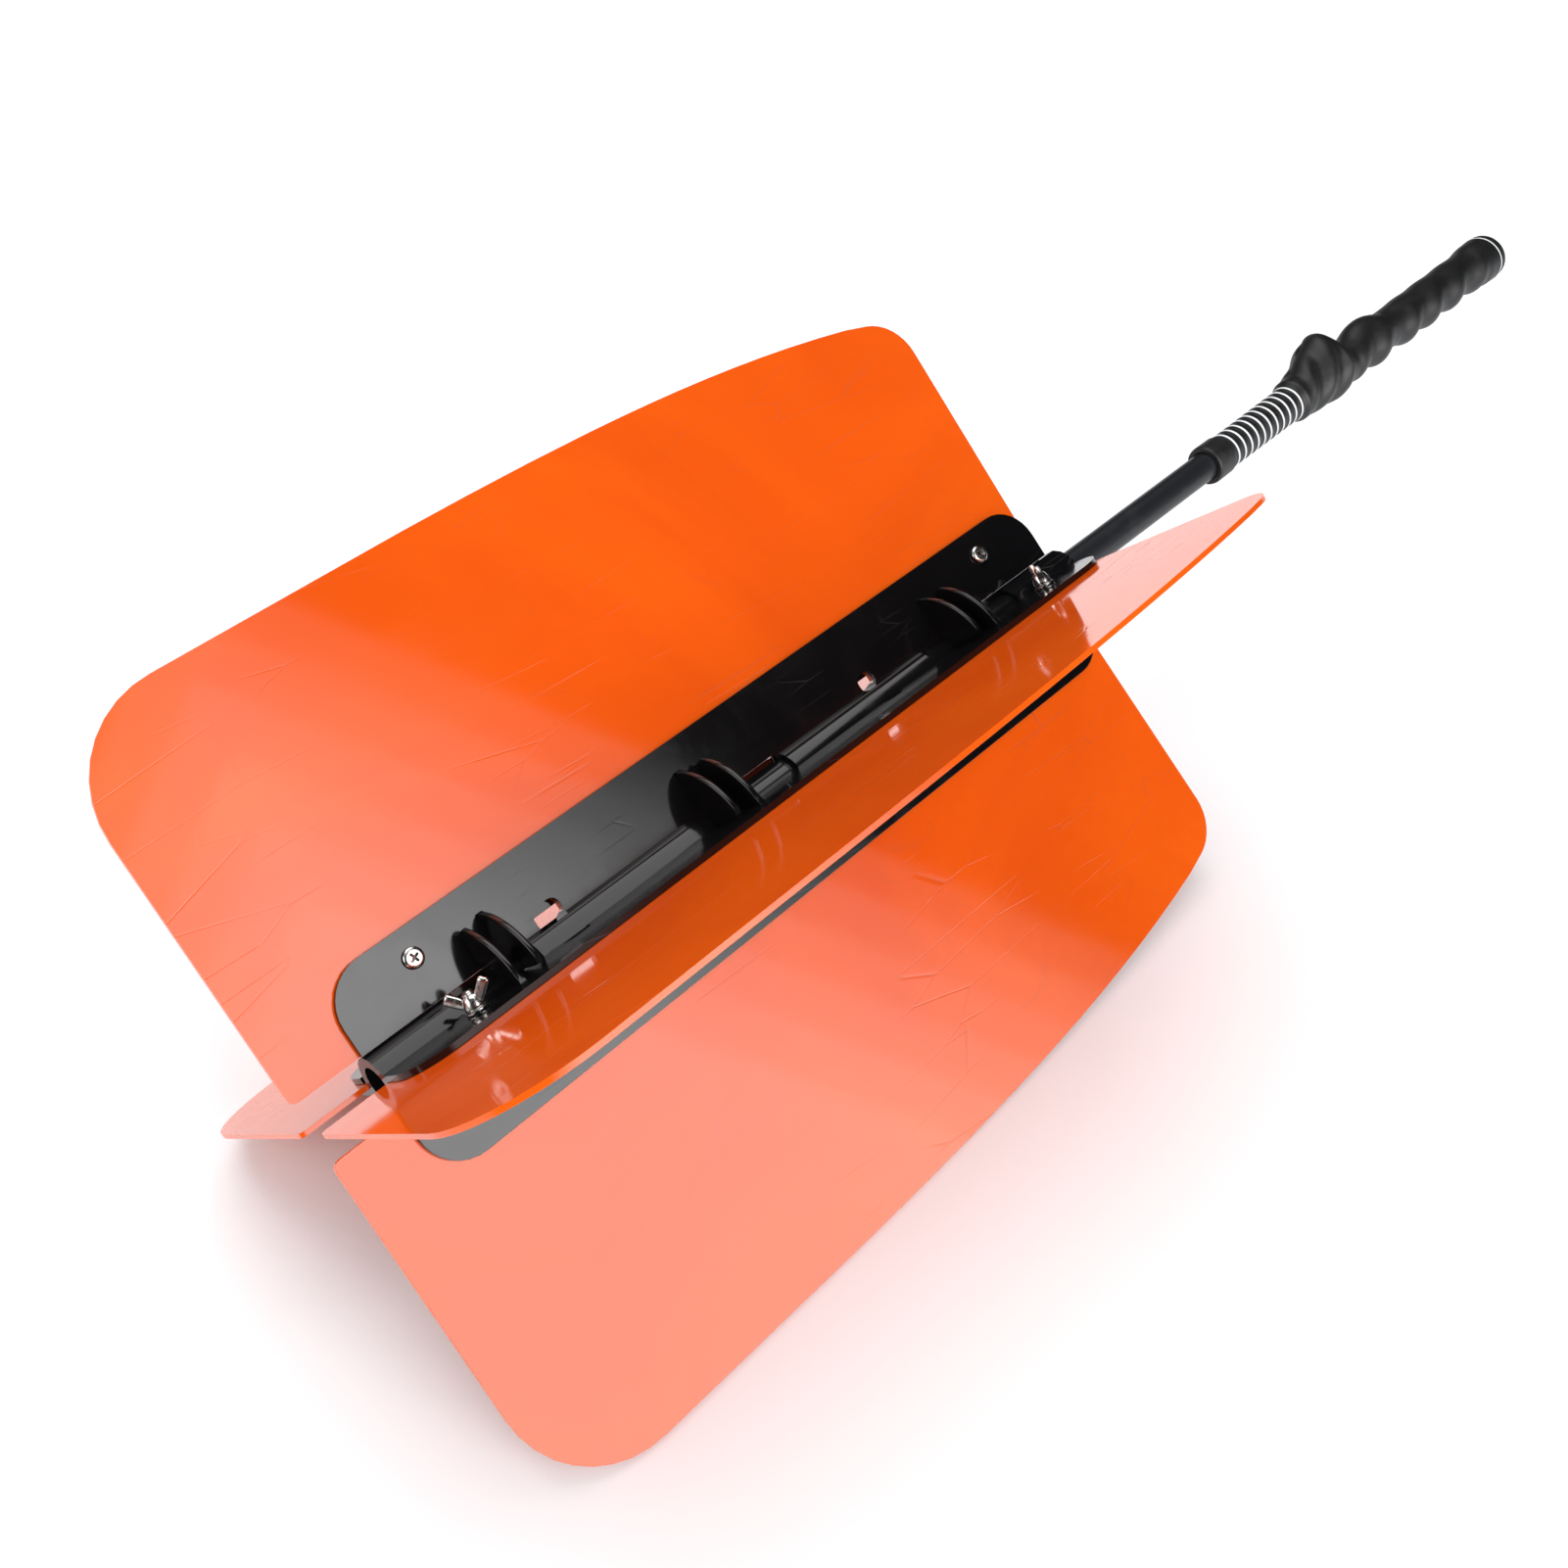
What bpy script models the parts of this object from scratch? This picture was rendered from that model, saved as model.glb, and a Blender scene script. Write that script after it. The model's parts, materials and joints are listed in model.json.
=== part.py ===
# Golf swing resistance fan: four flat vanes on a folding two-part hub, on a shaft with a moulded grip.
# Units are metres. Hub coordinates: X runs along the shaft towards the grip, Y and Z lie across it.
# The hub frame is turned about X, so that two vanes point down and two point up. The fixed half is
# turned a little further, because the stop discs leave the clamped vanes slightly more than square.
import math

import bmesh
import bpy
from mathutils import Matrix, Vector

# Vanes
VANE_LENGTH = 0.410
VANE_REACH = 0.1618
VANE_BULGE = 0.0044
VANE_TAPER = 0.0264
VANE_THICKNESS = 0.0020
VANE_INNER_RADIUS = 0.0120
VANE_FREE_CORNER_RADIUS = 0.043
VANE_GRIP_CORNER_RADIUS = 0.021
VANE_GRIP_CORNER_SHIFT = (0.0014, 0.0020)
VANE_GRIP_CURVE_SHARE = 1.15
VANE_GRIP_SLANT = 0.014
VANE_INNER_CORNER_RADIUS = 0.003

# Plates of the hub mouldings
PLATE_START = 0.0285
PLATE_END = 0.4120
PLATE_REACH = 0.0410
PLATE_INNER_RADIUS = 0.0120
PLATE_THICKNESS = 0.00235
PLATE_CORNER_RADIUS = 0.0180
BACKING_INNER_RADIUS = 0.0150
FACE_GAP = 0.00025
RUNNING_GAP = 0.0004
TOUCH_GAP = 0.0003

# Hub tube (a sixteen-sided sleeve round the shaft)
SLEEVE_SIDES = 16
SLEEVE_RADIUS = 0.0117
NECK_RADIUS = 0.0093
NECK_FIN_REACH = 0.0115
NECK_FIN_THICKNESS = 0.0020
SLEEVE_BORE_RADIUS = 0.0076
SLEEVE_BORE_SPAN = (-0.01, 0.45)
BORE_SIDES = 24
SLEEVE_END = 0.4180
WEB_INNER_RADIUS = 0.0060

# Where the knuckles of the two halves lie along the shaft: start, end
FIXED_KNUCKLES = ((PLATE_START, 0.0880), (0.1960, 0.2330), (0.3420, SLEEVE_END))
TURNING_KNUCKLES = ((0.0885, 0.1955), (0.2335, 0.3415))
FIXED_FULL_SPANS = ((PLATE_START, 0.0670), (0.3790, SLEEVE_END))
TURNING_FULL_SPANS = ((0.1010, 0.1850), (0.2354, 0.3210))

# Stop discs: where each one starts along the shaft
STOP_RADIUS = 0.0295
STOP_THICKNESS = 0.0026
STOP_ROOT_RADIUS = 0.0065
STOP_ROOT_HEIGHT = 0.0055
STOP_BURIED_DEPTH = 0.0024
FIXED_STOPS = (0.0810, 0.2007, 0.3460)
TURNING_STOPS = (0.0910, 0.1905, 0.3360)
STOP_END_CHAMFER = 0.0035
STOP_CHAMFER_SHARE = 0.6
STOP_STEPS = 24

# Windows through the plates beside the hub tube: centre along the shaft, length, width
WINDOWS = ((0.1148, 0.0125, 0.0102), (0.2912, 0.0088, 0.0076))
WINDOW_RADIUS = 0.0135
WINDOW_CORNER_SHARE = 0.38
WINDOW_CUT_REACH = 0.006

# Drilled holes
HOLE_SIDES = 16
HOLE_CUT_REACH = 0.010

# Screws that hold each vane between its two plates
SCREW_PLACES = (0.0628, 0.3790)
SCREW_RADIUS_OUT = 0.0296
SCREW_HEAD_RADIUS = 0.0040
SCREW_HEAD_HEIGHT = 0.0019
SCREW_SHANK_RADIUS = 0.0017
SCREW_HOLE_RADIUS = 0.0021
SCREW_SIDES = 16
SCREW_DOME_STEPS = 4
SCREW_DOME_ANGLE = math.radians(72.0)
SCREW_DOME_SHARE = 0.58
SCREW_END_INSET = 0.0006
SCREW_END_TAPER = 0.0008
SCREW_END_SHARE = 0.75
CROSS_LENGTH = 0.0040
CROSS_WIDTH = 0.0009
CROSS_DEPTH = 0.0011
CROSS_CUT_ABOVE = 0.001

# Clamp bolts with wing nuts
BOLT_PLACES = (0.0660, 0.3870)
BOLT_RADIUS_OUT = 0.0205
BOLT_SHANK_RADIUS = 0.0023
BOLT_HOLE_RADIUS = 0.0027
BOLT_HEAD_RADIUS = 0.0042
BOLT_HEAD_HEIGHT = 0.0018
BOLT_TIP = 0.0084
BOLT_SIDES = 20
BOLT_CHAMFER = 0.0006
BOLT_END_SHARE = 0.75
# The head's rounded side: share of its height below the plate, share of its radius
BOLT_HEAD_STEPS = ((1.0, 0.70), (0.6, 0.92), (0.0, 1.0))
WASHER_RADIUS = 0.0046
WASHER_THICKNESS = 0.0008
NUT_BASE_RADIUS = 0.0039
NUT_TOP_RADIUS = 0.0031
NUT_HEIGHT = 0.0048
NUT_COLLAR = 0.0010
NUT_BORE_SPAN = (-0.01, 0.02)
NUT_BORE_RADIUS = 0.0027
WING_SPAN = 0.0205
WING_TOP = 0.0092
WING_THICKNESS = 0.0024
WING_ROOT = 0.0026
WING_FOOT = 0.0006
WING_SHOULDER_DROP = 0.0004
WING_ELBOW = 0.0046
WING_ELBOW_RADIUS = 0.0010
WING_LOW_CORNER = 0.0046
WING_TIP_WIDTH = 0.0048
WING_TIP_RADIUS = 0.0022
NUT_REST_ANGLES = (math.radians(135.0), math.radians(55.0))

# Shaft and grip
SHAFT_RADIUS = 0.0072
SHAFT_BORE_RADIUS = 0.0060
SHAFT_START = 0.0400
SHAFT_FINISH = 0.8080
SHAFT_CHAMFER = 0.0003
SHAFT_SIDES = 32
GRIP_START = 0.5330
GRIP_FINISH = 0.8120
GRIP_BORE_RADIUS = 0.0076
GRIP_RINGS = 66
GRIP_SIDES = 24
CAP_RADIUS = 0.0128
CAP_LENGTH = 0.0055
# The cap's rounded end: share of its length, share of its radius
CAP_STEPS = ((0.0, 1.0), (0.55, 1.0), (0.85, 0.93), (1.0, 0.80))
PLUG_RADIUS = 0.0057
PLUG_LENGTH = 0.0120
PLUG_INSET = 0.0015
PLUG_TAPER = 0.92

# Grip radius along its length: place, radius
GRIP_PROFILE = (
    (0.5330, 0.0098), (0.5450, 0.0095), (0.5480, 0.0090), (0.6060, 0.0096), (0.6160, 0.0108),
    (0.6600, 0.0110), (0.6800, 0.0116), (0.7900, 0.0118), (0.8030, 0.0130), (0.8120, 0.0131),
)
THUMB_START = 0.6080
THUMB_PEAK = 0.6480
THUMB_FOOT = 0.6640
THUMB_HEIGHT = 0.0112
THUMB_NARROWNESS = 2.2
PALM_CENTRE = 0.6840
PALM_LENGTH = 0.0130
PALM_HEIGHT = 0.0042
PALM_TURN = 0.25
FINGER_START = 0.6560
FINGER_PITCH = 0.0256
FINGER_END = 0.8000
FINGER_DEPTH = 0.0013
FINGER_FADE = 0.0100

# Turns of the two halves about the shaft; the lower vanes then stand at the same slope
FIXED_TURN = math.radians(2.5)
HUB_TILT = math.radians(45.0) - FIXED_TURN / 2

ORANGE = (0.80, 0.11, 0.008, 1.0)
BLACK = (0.012, 0.012, 0.013, 1.0)
GRAPHITE = (0.030, 0.031, 0.034, 1.0)
RUBBER = (0.018, 0.018, 0.019, 1.0)
BRIGHT = (0.72, 0.71, 0.69, 1.0)


def clear_scene():
    for old in list(bpy.data.objects):
        bpy.data.objects.remove(old, do_unlink=True)


def make_material(name, colour, roughness, metallic):
    material = bpy.data.materials.new(name)
    material.use_nodes = True
    shader = material.node_tree.nodes["Principled BSDF"]
    shader.inputs["Base Color"].default_value = colour
    shader.inputs["Roughness"].default_value = roughness
    shader.inputs["Metallic"].default_value = metallic
    material.diffuse_color = colour
    return material


def new_object(name, mesh, material, parent, smooth_angle=None):
    item = bpy.data.objects.new(name, mesh)
    bpy.context.scene.collection.objects.link(item)
    item.parent = parent
    if material is not None:
        mesh.materials.clear()
        mesh.materials.append(material)
    if smooth_angle is not None:
        mesh.shade_smooth()
        mesh.set_sharp_from_angle(angle=math.radians(smooth_angle))
    return item


def mesh_from_shells(name, shells):
    # Each shell is a list of vertices with a list of faces; normals are made to point out.
    mesh = bpy.data.meshes.new(name)
    work = bmesh.new()
    for points, faces in shells:
        verts = [work.verts.new(point) for point in points]
        for face in faces:
            work.faces.new([verts[index] for index in face])
    bmesh.ops.recalc_face_normals(work, faces=work.faces)
    work.to_mesh(mesh)
    work.free()
    return mesh


def prism(outline, low, high, place):
    # Extrude a 2-D outline between two heights; place maps (a, b, height) to a point.
    count = len(outline)
    points = [place(a, b, low) for a, b in outline] + [place(a, b, high) for a, b in outline]
    faces = [tuple(range(count)), tuple(range(2 * count - 1, count - 1, -1))]
    for index in range(count):
        after = (index + 1) % count
        faces.append((index, after, count + after, count + index))
    return points, faces


def ring_points(profile, sides, place, phase):
    points = []
    for height, radius in profile:
        for side in range(sides):
            angle = phase + 2.0 * math.pi * side / sides
            points.append(place(radius * math.cos(angle), radius * math.sin(angle), height))
    return points


def ring_faces(rings, sides, closed):
    # Quads between one ring of points and the next; closed joins the last ring to the first.
    faces = []
    for ring in range(rings if closed else rings - 1):
        a = ring * sides
        b = ((ring + 1) % rings) * sides
        for side in range(sides):
            after = (side + 1) % sides
            faces.append((a + side, a + after, b + after, b + side))
    return faces


def turned(profile, sides, place, phase=0.0):
    # Lathe a profile of (height, radius) pairs, which starts and ends on flat caps.
    last = (len(profile) - 1) * sides
    caps = [tuple(range(sides)), tuple(range(last + sides - 1, last - 1, -1))]
    return ring_points(profile, sides, place, phase), ring_faces(len(profile), sides, False) + caps


def sleeve_ring(profile, sides, place):
    # Lathe a closed profile that never touches the axis, such as a tube's wall.
    return ring_points(profile, sides, place, 0.0), ring_faces(len(profile), sides, True)


def rounded_outline(corners, steps=8):
    # corners: (x, y, radius). Straight edges joined by arcs tangent to both.
    outline = []
    count = len(corners)
    for index, (x, y, radius) in enumerate(corners):
        here = Vector((x, y))
        if radius <= 0.0:
            outline.append((x, y))
            continue
        before = Vector(corners[index - 1][:2]) - here
        after = Vector(corners[(index + 1) % count][:2]) - here
        half = before.angle(after) / 2.0
        tangent = radius / math.tan(half)
        centre = here + (before.normalized() + after.normalized()).normalized() * (radius / math.sin(half))
        first = here + before.normalized() * tangent - centre
        last = here + after.normalized() * tangent - centre
        sweep = first.angle_signed(last)
        for step in range(steps + 1):
            turn = Matrix.Rotation(-sweep * step / steps, 2)
            point = centre + turn @ first
            outline.append((point.x, point.y))
    return outline


def fuse(name, base, joined=(), cut=()):
    # Exact Booleans on scratch objects; returns the finished mesh.
    scratch = bpy.data.objects.new(name + "_scratch", mesh_from_shells(name + "_base", base))
    bpy.context.scene.collection.objects.link(scratch)
    tools = []
    for operation, groups in (("UNION", joined), ("DIFFERENCE", cut)):
        for shells in groups:
            tool = bpy.data.objects.new(name + "_tool", mesh_from_shells(name + "_tool", shells))
            bpy.context.scene.collection.objects.link(tool)
            tool.display_type = "WIRE"
            tool.hide_render = True
            tools.append(tool)
            modifier = scratch.modifiers.new(operation.lower(), "BOOLEAN")
            modifier.operation = operation
            modifier.solver = "EXACT"
            modifier.object = tool
    bpy.context.view_layer.update()
    graph = bpy.context.evaluated_depsgraph_get()
    mesh = bpy.data.meshes.new_from_object(scratch.evaluated_get(graph))
    mesh.name = name
    for item in [scratch] + tools:
        bpy.data.objects.remove(item, do_unlink=True)
    return mesh


def vane_edge(along):
    share = along / VANE_LENGTH
    return VANE_REACH + VANE_BULGE * share - VANE_TAPER * share ** 4


def vane_outline():
    # Outer curve between two rounded corners, straight ends, straight inner edge.
    free_end = VANE_FREE_CORNER_RADIUS
    grip_end = VANE_GRIP_CORNER_RADIUS
    grip_top = vane_edge(VANE_LENGTH)
    top = []
    steps = 22
    start = free_end
    finish = VANE_LENGTH - grip_end * VANE_GRIP_CURVE_SHARE
    for step in range(steps + 1):
        along = start + (finish - start) * step / steps
        top.append((along, vane_edge(along)))
    left = []
    for step in range(9):
        angle = math.radians(180.0 - 90.0 * step / 9)
        left.append((free_end + free_end * math.cos(angle),
                     top[0][1] - free_end + free_end * math.sin(angle)))
    inner = VANE_INNER_RADIUS
    edge_x = VANE_LENGTH + VANE_GRIP_SLANT * grip_top
    root_x = VANE_LENGTH + VANE_GRIP_SLANT * inner
    corner_x = edge_x + VANE_GRIP_CORNER_SHIFT[0]
    corner_y = grip_top - VANE_GRIP_CORNER_SHIFT[1]
    guide = rounded_outline(((finish, top[-1][1], 0.0), (corner_x, corner_y, grip_end),
                             (root_x, inner, 0.0)), 8)
    right = guide[1:-1]
    low_right = rounded_outline((right[-1] + (0.0,), (root_x, inner, VANE_INNER_CORNER_RADIUS),
                                 (0.0, inner, 0.0)), 3)[1:-1]
    low_left = rounded_outline(((root_x, inner, 0.0), (0.0, inner, VANE_INNER_CORNER_RADIUS),
                                (0.0, 0.1, 0.0)), 3)[1:-1]
    return left + top + right + low_right + low_left


def plate_outline(inner_radius, knuckles=()):
    # Rounded outer corners; the inner edge steps in to the sleeve at each knuckle.
    corners = [(PLATE_START, inner_radius, 0.0), (PLATE_START, PLATE_REACH, PLATE_CORNER_RADIUS),
               (PLATE_END, PLATE_REACH, PLATE_CORNER_RADIUS), (PLATE_END, inner_radius, 0.0)]
    for start, end in reversed(knuckles):
        finish = min(end, PLATE_END)
        if finish == PLATE_END:
            corners[-1] = (PLATE_END, WEB_INNER_RADIUS, 0.0)
        else:
            corners.append((finish, inner_radius, 0.0))
            corners.append((finish, WEB_INNER_RADIUS, 0.0))
        if start == PLATE_START:
            corners[0] = (PLATE_START, WEB_INNER_RADIUS, 0.0)
        else:
            corners.append((start, WEB_INNER_RADIUS, 0.0))
            corners.append((start, inner_radius, 0.0))
    return rounded_outline(corners, 8)


def window_cutter(place):
    shells = []
    for centre, length, width in WINDOWS:
        corner = width * WINDOW_CORNER_SHARE
        left = centre - length / 2
        right = centre + length / 2
        low = WINDOW_RADIUS - width / 2
        high = WINDOW_RADIUS + width / 2
        corners = [(left, low, corner), (left, high, corner), (right, high, corner), (right, low, corner)]
        shells.append(prism(rounded_outline(corners, 4), -WINDOW_CUT_REACH, WINDOW_CUT_REACH, place))
    return shells


def axial(a, b, height):
    # A turned piece whose axis is the shaft.
    return Vector((height, a, b))


def half_places(turning, side):
    # Maps (along, out, across) for one vane's plane. side is +1 or -1: the two vanes of a half.
    if turning:
        return lambda s, r, w: Vector((s, side * r, side * w))
    return lambda s, r, w: Vector((s, side * w, side * r))


def knuckle_bars(knuckles, full_spans):
    # Stepped sixteen-sided bars: full sleeves where the span is full, slim necks elsewhere.
    phase = math.pi / SLEEVE_SIDES
    shells = []
    for start, end in knuckles:
        full = [span for span in full_spans if start <= span[0] and span[1] <= end]
        if not full:
            profile = [(start, NECK_RADIUS), (end, NECK_RADIUS)]
        else:
            low, high = full[0]
            profile = []
            if low > start:
                profile += [(start, NECK_RADIUS), (low, NECK_RADIUS)]
            profile += [(low, SLEEVE_RADIUS), (high, SLEEVE_RADIUS)]
            if high < end:
                profile += [(high, NECK_RADIUS), (end, NECK_RADIUS)]
        shells.append(turned(profile, SLEEVE_SIDES, axial, phase))
    return shells


def neck_fins(knuckles, turning):
    # Flat fins that close the gap between a slim neck and the other half's plates.
    half = NECK_FIN_THICKNESS / 2
    place = half_places(not turning, 1)
    shells = []
    for start, end in knuckles:
        outline = [(start, -NECK_FIN_REACH), (end, -NECK_FIN_REACH),
                   (end, NECK_FIN_REACH), (start, NECK_FIN_REACH)]
        shells.append(prism(outline, -half, half, place))
    return shells


def stop_outline():
    # A quarter disc: one edge buried in its own plate, the other just clear of the next half's plate.
    clear = outer_face() + RUNNING_GAP
    end_height = math.sqrt(STOP_RADIUS ** 2 - clear ** 2) - STOP_END_CHAMFER * STOP_CHAMFER_SHARE
    first = math.asin(STOP_BURIED_DEPTH / STOP_RADIUS)
    last = math.acos((clear + STOP_END_CHAMFER) / STOP_RADIUS)
    outline = [(STOP_ROOT_RADIUS, STOP_BURIED_DEPTH)]
    for step in range(STOP_STEPS + 1):
        angle = first + (last - first) * step / STOP_STEPS
        outline.append((STOP_RADIUS * math.cos(angle), STOP_RADIUS * math.sin(angle)))
    outline.append((clear, end_height))
    outline.append((clear, STOP_ROOT_HEIGHT))
    return outline


def disc_place(turning, side):
    # Maps a quarter disc's outline, whose first axis runs out along its own vane.
    if turning:
        return lambda a, b, s: Vector((s, side * a, side * b))
    return lambda a, b, s: Vector((s, side * b, side * a))


def stop_discs(starts, turning):
    shells = []
    for start in starts:
        for side in (1, -1):
            shells.append(prism(stop_outline(), start, start + STOP_THICKNESS, disc_place(turning, side)))
    return shells


def hole_cutters(turning, places, radius_out, hole_radius, sides=(1, -1)):
    # Drills through one half's vanes at each place along the shaft.
    reach = HOLE_CUT_REACH
    shells = []
    for side in sides:
        for along in places:
            frame = plane_frame(turning, side, along, radius_out, 0.0, False)
            drill = [(-reach, hole_radius), (reach, hole_radius)]
            points, faces = turned(drill, HOLE_SIDES, upright)
            shells.append(([frame @ point for point in points], faces))
    return shells


def screw_holes(turning):
    return hole_cutters(turning, SCREW_PLACES, SCREW_RADIUS_OUT, SCREW_HOLE_RADIUS)


def bolt_holes():
    return hole_cutters(False, BOLT_PLACES, BOLT_RADIUS_OUT, BOLT_HOLE_RADIUS, (1,))


def inner_face():
    return VANE_THICKNESS / 2 + FACE_GAP


def outer_face():
    return inner_face() + PLATE_THICKNESS


def build_core(name, turning, knuckles, full_spans, stops, material, parent):
    # One half of the hub: two plates, its knuckles round the shaft, and its stop discs.
    plates = []
    for side in (1, -1):
        outline = plate_outline(PLATE_INNER_RADIUS, knuckles)
        plates.append(prism(outline, inner_face(), outer_face(), half_places(turning, side)))
    bore = [turned([(height, SLEEVE_BORE_RADIUS) for height in SLEEVE_BORE_SPAN], BORE_SIDES, axial)]
    windows = window_cutter(half_places(turning, 1)) + window_cutter(half_places(turning, -1))
    cuts = [bore, screw_holes(turning), windows]
    if not turning:
        cuts.append(bolt_holes())
    joined = [knuckle_bars(knuckles, full_spans), neck_fins(knuckles, turning), stop_discs(stops, turning)]
    mesh = fuse(name, plates, joined, cuts)
    return new_object(name, mesh, material, parent, 20.0)


def build_backing(name, turning, side, bolted, material, parent):
    # The plain plate on the other face of a vane.
    outline = plate_outline(BACKING_INNER_RADIUS)
    base = [prism(outline, -outer_face(), -inner_face(), half_places(turning, side))]
    cuts = [screw_holes(turning)]
    if bolted:
        cuts.append(bolt_holes())
    return new_object(name, fuse(name, base, [], cuts), material, parent, 20.0)


def build_vane(name, turning, side, bolted, material, parent):
    place = half_places(turning, side)
    half = VANE_THICKNESS / 2
    base = [prism(vane_outline(), -half, half, place)]
    cuts = [screw_holes(turning), window_cutter(place)]
    if bolted:
        cuts.append(bolt_holes())
    return new_object(name, fuse(name, base, [], cuts), material, parent, 20.0)


def upright(a, b, height):
    # A turned piece in its own frame: its axis is its local Z.
    return Vector((a, b, height))


def screw_mesh():
    # Pan head with a cross recess; the underside of the head is at height 0.
    shank_end = -(2 * outer_face() - SCREW_END_INSET)
    profile = [(shank_end, SCREW_SHANK_RADIUS * SCREW_END_SHARE),
               (shank_end + SCREW_END_TAPER, SCREW_SHANK_RADIUS),
               (0.0, SCREW_SHANK_RADIUS), (0.0, SCREW_HEAD_RADIUS)]
    for step in range(1, SCREW_DOME_STEPS + 1):
        angle = SCREW_DOME_ANGLE * step / SCREW_DOME_STEPS
        height = SCREW_HEAD_HEIGHT * math.sin(angle) / math.sin(SCREW_DOME_ANGLE)
        share = 1.0 - SCREW_DOME_SHARE + SCREW_DOME_SHARE * math.cos(angle)
        profile.append((height, SCREW_HEAD_RADIUS * share))
    cross = []
    floor = SCREW_HEAD_HEIGHT - CROSS_DEPTH
    for along, across in ((CROSS_LENGTH, CROSS_WIDTH), (CROSS_WIDTH, CROSS_LENGTH)):
        a = along / 2
        b = across / 2
        bar = [(-a, -b), (a, -b), (a, b), (-a, b)]
        cross.append([prism(bar, floor, SCREW_HEAD_HEIGHT + CROSS_CUT_ABOVE, upright)])
    return fuse("pan_screw", [turned(profile, SCREW_SIDES, upright)], [], cross)


def bolt_mesh():
    # Low round head below, plain shank up through the plates, chamfered tip above.
    length = 2 * outer_face() + BOLT_TIP
    profile = [(-BOLT_HEAD_HEIGHT * low, BOLT_HEAD_RADIUS * share) for low, share in BOLT_HEAD_STEPS]
    profile += [(0.0, BOLT_SHANK_RADIUS), (length - BOLT_CHAMFER, BOLT_SHANK_RADIUS),
                (length, BOLT_SHANK_RADIUS * BOLT_END_SHARE)]
    return mesh_from_shells("clamp_bolt", [turned(profile, BOLT_SIDES, upright)])


def washer_mesh():
    wall = [(0.0, BOLT_HOLE_RADIUS), (0.0, WASHER_RADIUS), (WASHER_THICKNESS, WASHER_RADIUS),
            (WASHER_THICKNESS, BOLT_HOLE_RADIUS)]
    return mesh_from_shells("flat_washer", [sleeve_ring(wall, BORE_SIDES, upright)])


def wing_place(side):
    # Stands a wing's outline upright, on one side of the nut.
    return lambda a, b, h: Vector((side * a, side * h, b))


def wing_nut_mesh():
    # A tapered hub with two rounded wings that rise outwards.
    profile = [(0.0, NUT_BASE_RADIUS), (NUT_COLLAR, NUT_BASE_RADIUS), (NUT_HEIGHT, NUT_TOP_RADIUS)]
    hub = [turned(profile, BOLT_SIDES, upright)]
    half = WING_SPAN / 2
    corners = [(WING_ROOT, WING_FOOT, 0.0), (WING_ELBOW, WING_FOOT, WING_ELBOW_RADIUS),
               (half, WING_LOW_CORNER, WING_TIP_RADIUS), (half, WING_TOP, WING_TIP_RADIUS),
               (half - WING_TIP_WIDTH, WING_TOP, WING_TIP_RADIUS),
               (WING_ROOT, NUT_HEIGHT - WING_SHOULDER_DROP, 0.0)]
    outline = rounded_outline(corners, 5)
    wings = [prism(outline, -WING_THICKNESS / 2, WING_THICKNESS / 2, wing_place(side)) for side in (1, -1)]
    bore = [turned([(height, NUT_BORE_RADIUS) for height in NUT_BORE_SPAN], BOLT_SIDES, upright)]
    return fuse("wing_nut", hub, [wings], [bore])


def plane_frame(turning, side, along, out, across, flip):
    # Frame whose local Z points out of the plate's outer face.
    place = half_places(turning, side)
    origin = place(along, out, across)
    x_axis = Vector((1.0, 0.0, 0.0))
    z_axis = (place(0.0, 0.0, 1.0) - place(0.0, 0.0, 0.0)) * (-1.0 if flip else 1.0)
    y_axis = z_axis.cross(x_axis)
    frame = Matrix((x_axis, y_axis, z_axis)).transposed().to_4x4()
    return Matrix.Translation(origin) @ frame


def smoothstep(value):
    value = max(0.0, min(1.0, value))
    return value * value * (3.0 - 2.0 * value)


def grip_radius(along, angle):
    # angle 0 points along the vane-one side, where the thumb rest stands up.
    radius = GRIP_PROFILE[-1][1]
    for (x0, r0), (x1, r1) in zip(GRIP_PROFILE, GRIP_PROFILE[1:]):
        if along <= x1:
            radius = r0 + (r1 - r0) * smoothstep((along - x0) / (x1 - x0))
            break
    facing = math.cos(angle)
    rise = smoothstep((along - THUMB_START) / (THUMB_PEAK - THUMB_START))
    fall = 1.0 - smoothstep((along - THUMB_PEAK) / (THUMB_FOOT - THUMB_PEAK))
    radius += THUMB_HEIGHT * rise * fall * max(0.0, facing) ** THUMB_NARROWNESS
    palm = max(0.0, 1.0 - ((along - PALM_CENTRE) / PALM_LENGTH) ** 2)
    radius += PALM_HEIGHT * palm ** 2 * max(0.0, math.cos(angle - PALM_TURN)) ** 4
    if FINGER_START < along < FINGER_END:
        ends = smoothstep((along - FINGER_START) / FINGER_FADE)
        ends *= smoothstep((FINGER_END - along) / FINGER_FADE)
        wave = math.cos(2.0 * math.pi * (along - FINGER_START) / FINGER_PITCH)
        radius -= FINGER_DEPTH * ends * (0.5 + 0.5 * wave) * (0.35 + 0.65 * max(0.0, -facing))
    return radius


def build_grip(material, parent):
    # Outer skin lofted ring by ring, closed by a plain bore and two flat ends.
    turns = [2.0 * math.pi * side / GRIP_SIDES for side in range(GRIP_SIDES)]
    points = []
    for ring in range(GRIP_RINGS + 1):
        along = GRIP_START + (GRIP_FINISH - GRIP_START) * ring / GRIP_RINGS
        for angle in turns:
            radius = grip_radius(along, angle)
            points.append(Vector((along, radius * math.cos(angle), radius * math.sin(angle))))
    for along in (GRIP_FINISH, GRIP_START):
        points += ring_points([(along, GRIP_BORE_RADIUS)], GRIP_SIDES, axial, 0.0)
    faces = ring_faces(GRIP_RINGS + 3, GRIP_SIDES, True)
    mesh = mesh_from_shells("grip_body", [(points, faces)])
    return new_object("grip_body", mesh, material, parent, 45.0)


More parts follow.
